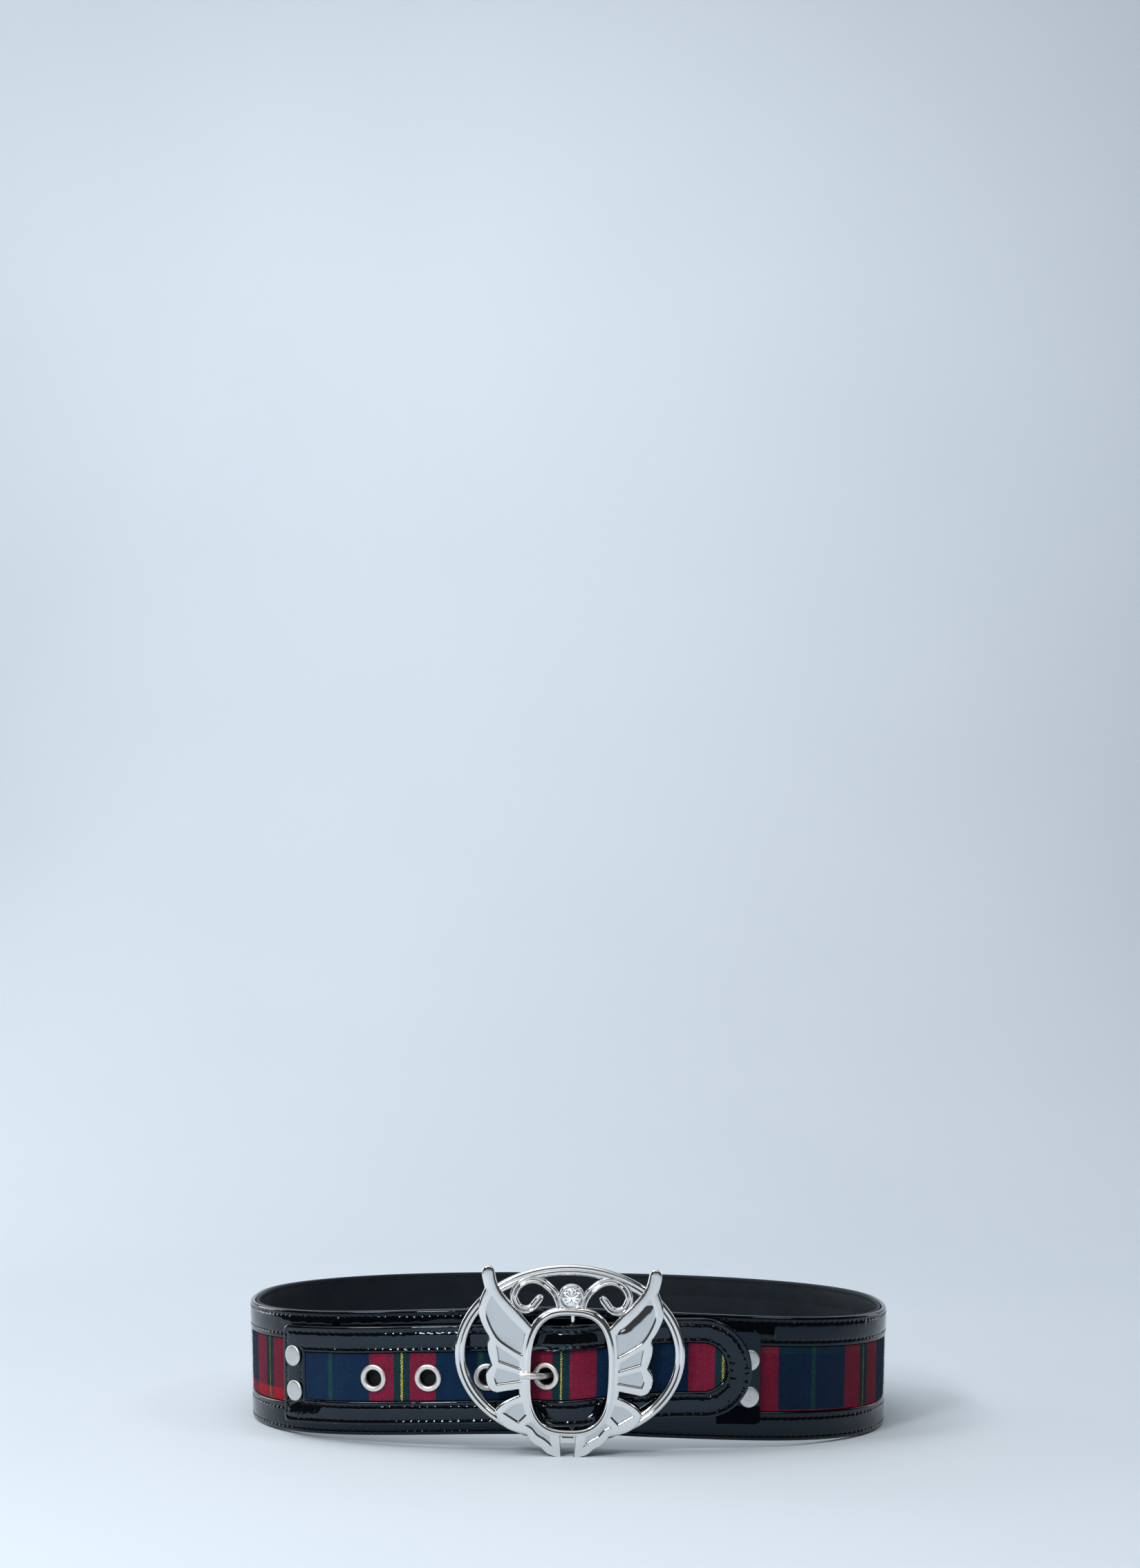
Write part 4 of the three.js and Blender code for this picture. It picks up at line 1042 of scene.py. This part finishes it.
# the middle of the leather, from behind the band's end round the bar and back along the front
def chapeLine():
    f = chapeForm
    radius = f["barRadius"] + f["gap"] + f["thick"] / 2
    back, front = f["barOff"] - radius, f["barOff"] + radius
    lie, low = back + f["thick"] + f["gap"], f["gap"] + f["thick"] / 2
    fold = np.linspace(-math.pi / 2, -1.5 * math.pi, 15)
    line = [(s, back) for s in np.arange(62, 4, -2.0)]
    line += [(f["barAt"] + radius * math.cos(a), f["barOff"] + radius * math.sin(a)) for a in fold]
    line += [(f["barAt"] + 11.8 * t, front + (lie - front) * smoothStep(t)) for t in np.linspace(0.1, 1, 10)]
    line += [(s, lie) for s in np.arange(16, 58, 2.0)]
    line += [(58 + 11 * t, lie + (low - lie) * smoothStep(t)) for t in np.linspace(0, 1, 12)]
    line += [(s, low) for s in (70, 71, 72, 73, 74, 75, 76, 76.8, 77.4, 77.9, 78.3, 78.7, 78.95, 79.12, 79.24, 79.3)]
    return np.array(line)


# across the leather, as which side of its middle and how high
chapeSection = [(1, up) for up in (
    0.35, 0.8, 2, 3.4, 4.8, 6.2, 7.6, 9, 10.4, 12.4, 14.5, 16.5, 18.5, 20.5, 22.5, 24.5, 26.8, 34.8, 38.0, 38.45)]
chapeSection += [
    (0.75, 38.7), (0, 38.8), (-0.75, 38.7), (-1, 38.3), (-1, 19.4), (-1, 0.5), (-0.75, 0.1), (0, 0), (0.75, 0.1)]


def chapePiece():
    f = chapeForm
    line = chapeLine()
    side = leftOf(unit(np.gradient(line, axis=0))) * f["thick"] / 2
    tab = np.arange(len(line)) > len(line) / 2
    toEnd = f["end"] - line[:, 0]
    drop = np.where(tab, cornerDrop(toEnd, f["corner"]), 0)[:, None]
    soft = np.where(tab, np.clip(toEnd / 0.25, 0.45, 1), 1)[:, None]
    share, up = columnsOf(chapeSection)
    middle = (f["high"] - f["low"]) / 2
    h = f["low"] + middle + (up - middle) * (1 - drop / middle)
    spot = line[:, None] + side[:, None] * (share * soft)[..., None]
    s, off = spot[..., 0], spot[..., 1]
    bulge = f["lean"] * softRamp(f["leanBelow"] - h, f["leanSoft"])
    bulge = bulge + f["bulge"] * np.exp(-(((h - f["bulgeAt"]) / f["bulgeReach"]) ** 2))
    bulge = bulge * smoothStep((s - f["bulgeFrom"]) / 6) * tab[:, None]
    piece = skin("chape", place(s, off + (f["wave"] * wander(s, 19) + bulge) * (share > 0), h))
    cutAway(piece, setDown(block(f["slot"]), standing(5.0, 25.0, onBand)))
    finishPiece(piece, tabPatent, "patent_leather", "chape")


chapePiece()
print("chape modelled")

# the buckle, cast in one: x to the right, y up and depth towards the viewer, in its own plane
wingRuns = {
    "innerEdge": [[17, 20], [21, 24.4], [25, 28.4], [28.2, 32.2], [30, 36], [30.9, 40.2]],
    "tip": [[32.2, 41.8], [34.4, 41.7], [35.7, 40]],
    "fingerOuter": [[35.7, 37.2], [34.6, 32.8]],
    "upperEdge": [[36.2, 28.5], [36.8, 24.5], [36.2, 21], [34.4, 16.8], [32.4, 13.7]],
    "middleLobe": [[32.9, 11], [32.6, 7.5], [31.2, 2.9]],
    "lowerLobe": [[32.8, 0.6], [33.2, -2.4], [32.4, -5.8], [30.9, -7.8], [28.6, -8.6]],
    "slot": [[20, -7], [19.8, -9.2]],
    "lowerWing": [[22, -10], [26, -12.2], [28.7, -14.8], [28.9, -17], [27, -20.5], [23, -23.3], [16.4, -24.8]],
    "tail": [[15.5, -26.6], [13.2, -28.8], [10.6, -30.1], [8, -32.3], [5.4, -33.3], [2.4, -34.5]],
}
wingRoot = [[3.1, -25], [3.1, -21], [12, -14], [12, 15]]
wingPanels = {
    "upperWing": [[31.6, 30.8], [27.4, 25.3], [22.5, 20.3], [17.9, 15.9], [19, 6.5], [24, 9.3], [29.3, 13.3],
                  [33.2, 20.5], [33.7, 25.5]],
    "middle": [[29.4, 10.7], [19.6, 4.4], [19.4, 0.9], [28.2, 3.8]],
    "lowerLobe": [[28.7, 1.6], [19.2, -1], [19.2, -3.9], [28.9, -5.4], [29.9, -2]],
    "lowerWing": [[18, -12.2], [16.6, -17], [19.8, -20.3], [26.2, -16.4], [22.3, -13.3]],
    "tail": [[14.6, -19.4], [17.2, -21], [14.5, -22.5], [12.3, -25], [9.5, -26.6], [6.2, -29.2], [7, -25],
             [10.8, -22.8]],
}
scrollLine = [
    [4.6, 25.5], [5.2, 28.2], [6.8, 31.5], [9.5, 34.2], [12, 35.9], [15.2, 36.7], [18.6, 36], [21.4, 33.8],
    [22.8, 30.5], [22.2, 27.4], [20.3, 25.3], [17.8, 24.7], [15.5, 25.8], [13.7, 28], [11.7, 30.5],
]
castForm = {
    "step": 0.42, "fill": 0.75, "edgeRound": 0.75, "pillow": 0.14, "pillowReach": 1.6,
    "panelDepth": 0.17, "panelWall": 0.36, "dish": 0.14, "dishReach": 2.4, "lip": 0.3, "lipHeight": 0.06,
    "slit": 0.27, "slitReach": 2.9, "slitOff": 3.7, "slitSoft": 0.22, "slitLow": (14.5, 4), "slitHigh": (33, 6),
    # mesh points stand beside the edges at these distances
    "besideOutline": (0.05, 0.17, 0.35, 0.55, 0.8, 1.2, 1.8), "insidePanel": (0.1, 0.22, 0.36, 0.7, 1.2),
    "outsidePanel": (0.12, 0.28, 0.5),
    "openHalfX": 15.5, "openHalfZ": 22.85, "openPower": 2.8,
    "ringHalfX": 43.7, "ringHalfZ": 33.4, "ringZ": 7.45, "ringSink": 1.25,
    "plates": [((7.2, 3.7, 2.6), 8.7), ((4.6, 1.5, 1.0), 9.9)], "platesZ": -26.3,
}
buckleTurn = np.array([
    [math.cos(buckleForm["turn"]), math.sin(buckleForm["turn"])],
    [-math.sin(buckleForm["turn"]), math.cos(buckleForm["turn"])]])


# from the buckle's own plane to the scene, never below the floor
def cast(x, y, depth):
    x, y, depth = np.broadcast_arrays(*(np.asarray(v, float) for v in (x, y, depth)))
    across, level = np.moveaxis(np.stack([x, y], axis=-1) @ buckleTurn.T, -1, 0)
    return np.stack([
        buckleForm["centreX"] + across + shiftX, shiftY - loopForm["halfDepth"] - depth,
        np.maximum(buckleForm["centreZ"] + level, 0)], axis=-1) / 1000


def castAgain(piece, lift=0.0, outwards=0.0):
    spot = coordinates(piece)
    setCoordinates(piece, cast(spot[:, 0], spot[:, 1] + lift, spot[:, 2] + outwards))
    return piece


# a smooth line through points, cut into equal steps that keep both ends
def smoothLine(points, step):
    points = np.array(points, float)
    if len(points) > 2:
        ahead = np.concatenate([points[:1], points, points[-1:]])
        t = np.linspace(0, 1, 12, endpoint=False)[:, None]
        line = []
        for a, b, c, d in zip(ahead, ahead[1:], ahead[2:], ahead[3:]):
            square, cube = 2 * a - 5 * b + 4 * c - d, 3 * b - a - 3 * c + d
            line.append(0.5 * (2 * b + (c - a) * t + square * t ** 2 + cube * t ** 3))
        points = np.concatenate(line + [points[-1:]])
    reach = reachAlong(points)
    even = np.linspace(0, reach[-1], max(2, round(reach[-1] / step) + 1))
    return np.stack([np.interp(even, reach, column) for column in points.T], axis=-1)


def wingOutline(step):
    at, parts = wingRoot[3], []
    runs = [wingRuns["innerEdge"][:1], *wingRuns.values(), *([corner] for corner in wingRoot)]
    for run in runs:
        if run is wingRuns["slot"]:
            parts += [smoothLine([at, run[0]], step)[:-1], smoothLine(run, step)[:-1]]
        else:
            parts.append(smoothLine(run if run[0] == at else [at, *run], step)[:-1])
        at = run[-1]
    return np.concatenate(parts)


# a panel's edge: smooth runs between the corners that turn by more than the limit
def panelOutline(points, step, limit=42):
    points = np.array(points, float)
    before, after = points - np.roll(points, 1, axis=0), np.roll(points, -1, axis=0) - points
    turn = np.degrees(np.abs(np.arctan2(
        before[:, 0] * after[:, 1] - before[:, 1] * after[:, 0], (before * after).sum(1))))
    corners = [i for i in range(len(points)) if turn[i] > limit]
    parts = []
    for start, end in zip(corners, corners[1:] + [corners[0] + len(points)]):
        parts.append(smoothLine([points[i % len(points)] for i in range(start, end + 1)], step)[:-1])
    return np.concatenate(parts)


def insideOf(points, loop):
    a, b = loop, np.roll(loop, -1, axis=0)
    x, y = points[:, :1], points[:, 1:]
    cross = (a[:, 1] > y) != (b[:, 1] > y)
    with np.errstate(divide="ignore", invalid="ignore"):
        at = a[:, 0] + (y - a[:, 1]) * (b[:, 0] - a[:, 0]) / (b[:, 1] - a[:, 1])
    return (cross & (x < at)).sum(1) % 2 == 1


def distanceTo(points, loop):
    a, b = loop, np.roll(loop, -1, axis=0)
    along = b - a
    gap = points[:, None] - a
    t = np.clip((gap * along).sum(-1) / np.maximum((along ** 2).sum(-1), 1e-12), 0, 1)
    return np.sqrt((((gap - along * t[..., None]) ** 2).sum(-1)).min(1))


def oval(halfX, halfY, power, angle):
    c, s = np.cos(angle), np.sin(angle)
    return np.stack([halfX * np.sign(c) * np.abs(c) ** (2 / power), halfY * np.sign(s) * np.abs(s) ** (2 / power)], -1)


# points beside a loop at a distance, where nothing else is nearer
def besides(loop, distance, keepOff, inward):
    ahead = np.roll(loop, -1, axis=0) - np.roll(loop, 1, axis=0)
    side = leftOf(ahead) / np.maximum(np.linalg.norm(ahead, axis=1, keepdims=True), 1e-9)
    turn = (loop[:, 0] * np.roll(loop[:, 1], -1) - np.roll(loop[:, 0], -1) * loop[:, 1]).sum()
    points = loop + side * distance * math.copysign(1, turn) * (1 if inward else -1)
    good = distanceTo(points, loop) > distance * 0.96
    for other in keepOff:
        good &= distanceTo(points, other) > 0.12
    return points[good]


# the right wing's long panel dips along the finger and mirrors the dark room there
def fingerSlit(flat):
    f = castForm
    finger = smoothLine(wingRuns["innerEdge"], 1.0)
    fromFinger = distanceTo(flat, np.concatenate([finger, finger[::-1]]))
    (low, lowRun), (high, highRun) = f["slitLow"], f["slitHigh"]
    taper = smoothStep((flat[:, 1] - low) / lowRun) * smoothStep((high - flat[:, 1]) / highRun)
    return f["slit"] * softRamp(f["slitReach"] * taper - (fromFinger - f["slitOff"]), f["slitSoft"]) * taper


# a wing's flat front as a fine triangle mesh with all edges in it, kept between the outline and the opening
def wingMesh(outline, opening, panels):
    f = castForm
    points = [besides(outline, d, panels, True) for d in f["besideOutline"]]
    for panel in panels:
        points += [besides(panel, d, [outline], True) for d in f["insidePanel"]]
        points += [besides(panel, d, [outline], False) for d in f["outsidePanel"]]
    spots = np.stack(np.meshgrid(np.arange(2, 38, f["fill"]), np.arange(-35, 43, f["fill"])), -1).reshape(-1, 2)
    near = np.min([distanceTo(spots, loop) for loop in [outline] + panels], axis=0)
    points = np.concatenate(points + [spots[near > 0.9]])
    points = points[insideOf(points, outline) & ~insideOf(points, opening)]
    points = points[np.lexsort((points[:, 1], points[:, 0]))]
    loops, edges, start = [outline, opening] + panels, [], 0
    for loop in loops:
        edges += [(start + i, start + (i + 1) % len(loop)) for i in range(len(loop))]
        start += len(loop)
    every = [Vector(p) for p in np.concatenate(loops + [points]).tolist()]
    flat, _, faces, *_ = delaunay_2d_cdt(every, edges, [], 0, 1e-5)
    flat, faces = np.array([tuple(p) for p in flat]), np.array([tuple(face) for face in faces])
    middle = flat[faces].mean(1)
    faces = faces[insideOf(middle, outline) & ~insideOf(middle, opening)]
    used = np.unique(faces)
    return flat[used], np.searchsorted(used, faces)


def wingPiece(name, mirror):
    f = castForm
    outline = wingOutline(f["step"])
    panels = [panelOutline(points, f["step"]) for points in wingPanels.values()]
    angle = np.linspace(0, 2 * math.pi, 240, endpoint=False)
    opening = oval(f["openHalfX"] + 1.0, f["openHalfZ"] + 1.0, f["openPower"], angle)
    flat, faces = wingMesh(outline, opening, panels)

    # heights: rounded at the outline, a little crowned, and stepped down into dished panels
    fromEdge = distanceTo(flat, outline)
    inner = np.maximum(0, f["edgeRound"] - fromEdge)
    level = np.sqrt(np.maximum(0, f["edgeRound"] ** 2 - inner ** 2)) - f["edgeRound"]
    level = level - f["pillow"] * np.exp(-fromEdge / f["pillowReach"])
    for panel in panels:
        d = distanceTo(flat, panel)
        lip = np.maximum(0, 1 - d / f["lip"]) ** 2 * f["lipHeight"]
        floor = -f["panelDepth"] * smoothStep(d / f["panelWall"]) - f["lipHeight"]
        floor = floor - f["dish"] * (1 - np.exp(-d / f["dishReach"]))
        if not mirror and panel is panels[0]:
            floor = floor - fingerSlit(flat)
        level = level + np.where(insideOf(flat, panel), floor, -lip)
    front = buckleForm["front"] + level

    # the sides go straight back to the flat rear
    faces = [tuple(face) for face in faces.tolist()]
    counts = {}
    for face in faces:
        for a, b in zip(face, face[1:] + face[:1]):
            edge = (min(a, b), max(a, b))
            counts[edge] = counts.get(edge, 0) + 1
    x, count = (-flat[:, 0] if mirror else flat[:, 0]), len(flat)
    places = np.concatenate([cast(x, flat[:, 1], front), cast(x, flat[:, 1], buckleForm["back"])])
    made = faces + [tuple(i + count for i in face[::-1]) for face in faces]
    made += [(a, b, b + count, a + count) for (a, b), times in counts.items() if times == 1]
    piece = fromFaces(name, places, made, angle=50, merge=1e-6)
    piece.data.materials.append(silver)
    piece.data.materials.append(panelShadeSilver)
    spot = (coordinates(piece) - cast(0, 0, 0)) * 1000
    flat = spot[:, (0, 2)] @ buckleTurn * (-1 if mirror else 1, 1)
    # faces deep in the panels take the darker silver: painted shade and reflection in the recesses
    deep = np.any([insideOf(flat, panel) & (distanceTo(flat, panel) > 0.3) for panel in panels], axis=0)
    deep &= -spot[:, 1] > 9.5
    for face in piece.data.polygons:
        face.material_index = int(all(deep[i] for i in face.vertices))
    return piece


# a moulded wire along a line in the buckle's plane; its section gives how far left of the line and how deep
def mouldedWire(name, line, section, ring=False, taper=1.0, sink=0.0, narrow=0.0):
    ahead = np.roll(line, -1, axis=0) - np.roll(line, 1, axis=0) if ring else np.gradient(line, axis=0)
    side = leftOf(unit(ahead))
    section = np.array(section)
    middle = section.mean(0)
    scaled = middle + (section - middle) * np.broadcast_to(taper, len(line))[:, None, None]
    across = scaled[..., 0] * (1 - narrow * (section[:, 0] > 0))
    depth = scaled[..., 1] - sink * (section[:, 1] > middle[1])
    spot = line[:, None] + side[:, None] * across[..., None]
    return skin(name, cast(spot[..., 0], spot[..., 1], depth), ring=ring, angle=50)


# sections of the wires and the cup, as across and depth
ringSection = [
    (-1.6, 7.5), (0, 7.45), (1.6, 7.5), (2.02, 7.9), (2.18, 8.6), (2.2, 9.3), (2.14, 9.85), (1.96, 10.3),
    (1.65, 10.62), (1.2, 10.8), (0.7, 10.82), (0.35, 10.72), (0.12, 10.52), (0, 10.42), (-0.12, 10.5), (-0.4, 10.62),
    (-0.8, 10.66), (-1.2, 10.58), (-1.6, 10.38), (-1.9, 10.02), (-2.1, 9.55), (-2.18, 9.0), (-2.14, 8.3),
    (-1.95, 7.8),
]
rimSection = [
    (-1.3, 8.0), (0, 7.9), (1.3, 8.0), (2.0, 8.4), (2.5, 9.8), (2.45, 10.7), (2.2, 11.05), (1.8, 11.3), (1.3, 11.55),
    (0.8, 11.75), (0.3, 11.86), (-0.2, 11.88), (-0.55, 11.8), (-0.76, 11.68), (-0.9, 11.7), (-1.08, 11.76),
    (-1.24, 11.72), (-1.37, 11.5), (-1.42, 11.1), (-1.42, 8.3),
]
scrollSection = [
    (-1.35, 8.8), (0, 8.5), (1.35, 8.7), (1.62, 9.2), (1.66, 9.9), (1.5, 10.4), (1.15, 10.7), (0.75, 10.74),
    (0.42, 10.6), (0.22, 10.42), (0.08, 10.5), (-0.1, 10.85), (-0.38, 11.2), (-0.72, 11.33), (-1.08, 11.22),
    (-1.36, 10.9), (-1.55, 10.4), (-1.6, 9.8), (-1.55, 9.2),
]
cupSection = [
    (0, 7.8), (4.6, 7.8), (5.05, 8.0), (5.2, 8.5), (5.2, 10.9), (5.12, 11.4), (4.9, 11.72), (4.62, 11.84),
    (4.35, 11.78), (4.14, 11.6), (4.04, 11.38), (4.02, 11.2), (4.02, 10.6), (2.6, 9.2), (0, 8.4),
]


def roundTube(name, line, radii, sides):
    line = np.array(line, float)
    ahead = unit(np.gradient(line, axis=0))
    first = np.cross(ahead, (0, 0, 1.0))
    first[np.linalg.norm(first, axis=1) < 0.2] = (1, 0, 0)
    first = unit(first)
    second = np.cross(first, ahead)
    angle = np.linspace(0, 2 * math.pi, sides, endpoint=False)[None, :, None]
    around = first[:, None] * np.cos(angle) + second[:, None] * np.sin(angle)
    return skin(name, (line[:, None] + np.broadcast_to(radii, len(line))[:, None, None] * around) / 1000, angle=50)


def outerRing():
    f = castForm
    angle = np.linspace(0, -2 * math.pi, 300, endpoint=False)
    centre = np.stack([f["ringHalfX"] * np.cos(angle), f["ringZ"] + f["ringHalfZ"] * np.sin(angle)], -1)
    foot = smoothStep((-centre[:, 1] - 12) / 6)[:, None] * smoothStep((20 - np.abs(centre[:, :1])) / 4)
    return mouldedWire("outerRing", centre, ringSection, ring=True, sink=f["ringSink"] * foot)


def openingRim():
    f = castForm
    fine = oval(f["openHalfX"] + 1.35, f["openHalfZ"] + 1.35, f["openPower"], np.linspace(0, -2 * math.pi, 4000))
    reach = reachAlong(fine)
    even = np.linspace(0, reach[-1], 260, endpoint=False)
    rim = np.stack([np.interp(even, reach, column) for column in fine.T], axis=-1)
    bottom = smoothStep((-rim[:, 1:] - 19) / 5)
    return mouldedWire("openingRim", rim, rimSection, ring=True, narrow=0.2 + 0.3 * bottom)


# the small plates between the buckle's feet
def footPlate(size, depth):
    plate = block(size)
    soft = plate.modifiers.new("soft", "BEVEL")
    soft.width, soft.segments = 0.25, 2
    bpy.ops.object.modifier_apply(modifier=soft.name)
    return closeUp(castAgain(plate, castForm["platesZ"], depth), False, 30, 1e-7)


def scroll(side):
    line = smoothLine(scrollLine, 0.35)
    taper = np.ones(len(line))
    taper[-6:] = np.sqrt(np.maximum(1 - (np.arange(1, 7) / 6.3) ** 2, 0))
    section = [(side * x, z) for x, z in scrollSection]
    return mouldedWire("scroll", line * (side, 1), section, taper=taper)


# the bar the chape folds round, with its ends bent forward into the casting
def centreBar():
    f = chapeForm
    low, high = (place(f["barAt"], f["barOff"], h) * 1000 for h in (2.6, 50.8))
    front = shiftY - loopForm["halfDepth"] - 8.8
    path = [[low[0], front, low[2]], low + (0, -0.8, 0), low + (0, 0, 0.8)]
    path += [low + (high - low) * t for t in (0.2, 0.4, 0.6, 0.8)]
    path += [high + (0, 0, -0.8), high + (0, -0.8, 0), [high[0], front, high[2]]]
    return roundTube("centreBar", path, f["barRadius"], 16)


def bucklePiece():
    wings = [wingPiece("wingRight", False), wingPiece("wingLeft", True)]
    parts = [outerRing(), openingRim()]
    parts += [footPlate(size, depth) for size, depth in castForm["plates"]]
    parts += [scroll(1), scroll(-1)]
    cup = turned("stoneCup", cupSection, closed=False, steps=64)
    parts += [closeUp(castAgain(cup, stoneForm["height"]), False, 40, 1e-7), centreBar()]
    for part in parts:
        part.data.materials.append(silver)
    buckle = joined(*wings, *parts)
    buckle.name = buckle.data.name = "buckleCasting"
    finishPiece(buckle, silver, "polished_silver", "buckle_frame")


bucklePiece()

# the pin: round the bar, out through the last eyelet and onto the rim, where it ends flat
pinLine = [
    [0.6, 2.7, 0], [-3.6, 2.8, 0], [-6.2, 4.2, 0], [-7.9, 6.8, 0.1], [-9.8, 9.7, 0.3], [-13.2, 13, 0.8],
    [-16.2, 13.6, 1], [-18.7, 13.4, 1],
]


def pinPiece():
    level = eyeletPlaces[3][2, 3] * 1000
    front = shiftY - loopForm["halfDepth"]
    line = smoothLine([[x + shiftX, front - depth, level + rise] for x, depth, rise in pinLine], 0.4)
    radii = 1.12 + 0.26 * smoothStep((np.linspace(0, 1, len(line)) - 0.45) / 0.3)
    radii[-3:] = radii[-3] * np.array([1, 0.93, 0.8])
    pin = roundTube("pin", line, radii, 24)
    heart = place(chapeForm["barAt"], chapeForm["barOff"], level - liftForm["height"]) * 1000
    eye = turned("pinEye", [(1.4, -2.2), (2.4, -2.4), (2.7, -2.0), (2.75, 0), (2.7, 2.0), (2.4, 2.4), (1.4, 2.2)])
    setCoordinates(eye, (coordinates(eye) + (heart[0], heart[1], level)) / 1000)
    finishPiece(joined(pin, eye), warmSilver, "polished_silver", "prong")


pinPiece()

# the stone: a table, two rows of crown facets and a pointed back, as radius, depth and how far the facets alternate
stoneRings = [
    (0, 11.78, 0), (1.3, 11.98, 0.17), (3.0, 12.05, 0.12), (3.98, 11.3, 0), (3.98, 10.95, 0), (2.2, 9.9, 0),
    (0, 9.0, 0),
]


def stonePiece():
    bpy.ops.mesh.primitive_uv_sphere_add(segments=24, ring_count=6, radius=1)
    stone = bpy.context.object
    stone.name = stone.data.name = "stone"
    places = coordinates(stone)
    index = np.rint((1 - np.arcsin(np.clip(places[:, 2], -1, 1)) / (math.pi / 2)) * 3).astype(int)
    radius, depth, facet = (np.array(column)[index] for column in zip(*stoneRings))
    angle = np.arctan2(places[:, 1], places[:, 0])
    spoke = np.rint(angle / (math.pi / 12)).astype(int)
    depth = depth + facet * np.where(spoke % 2 == 0, 1, -0.6) * np.where(spoke % 3 == 0, 1.2, 0.8)
    setCoordinates(stone, cast(radius * np.cos(angle), stoneForm["height"] + radius * np.sin(angle), depth))
    edit(stone, bpy.ops.mesh.quads_convert_to_tris)
    edit(stone, bpy.ops.mesh.normals_make_consistent, inside=False)
    bpy.ops.object.shade_flat()
    crystal = newMaterial("cutCrystal", {
        "Base Color": (0.96, 0.98, 1, 1), "Roughness": 0.02, "Metallic": 0.75, "Coat Weight": 1.0,
        "Coat Roughness": 0.01})[0]
    finishPiece(stone, crystal, "crystal", "crystal")


stonePiece()
print("buckle, pin and stone modelled")

# a seamless pale sweep: floor, a wide bend and the wall behind
sweepForm = {
    "front": -3.2, "bendAt": 0.7, "bend": 0.9, "height": 3.2, "half": 3.0,
    "tones": [(0.3, (0.68, 0.765, 0.85)), (0.7, (0.70, 0.785, 0.87))],
}


def backdrop():
    f = sweepForm
    bend = np.linspace(0, math.pi / 2, 24)
    line = [(f["front"], 0)] + [(f["bendAt"] + f["bend"] * math.sin(a), f["bend"] * (1 - math.cos(a))) for a in bend]
    line.append((f["bendAt"] + f["bend"], f["height"]))
    points = np.array([[(x, y, z) for x in np.linspace(-f["half"], f["half"], 5)] for y, z in line])
    floor = skin("sweep", points, tube=False, fill=False, angle=60)
    material, shader = newMaterial("paperSweep", {"Roughness": 0.75, "Specular IOR Level": 0.25})
    feed(shader, "Base Color", colourRamp(noiseOf(objectPlace(shader), 3), f["tones"]))
    floor.data.materials.append(material)


backdrop()
print("backdrop made")
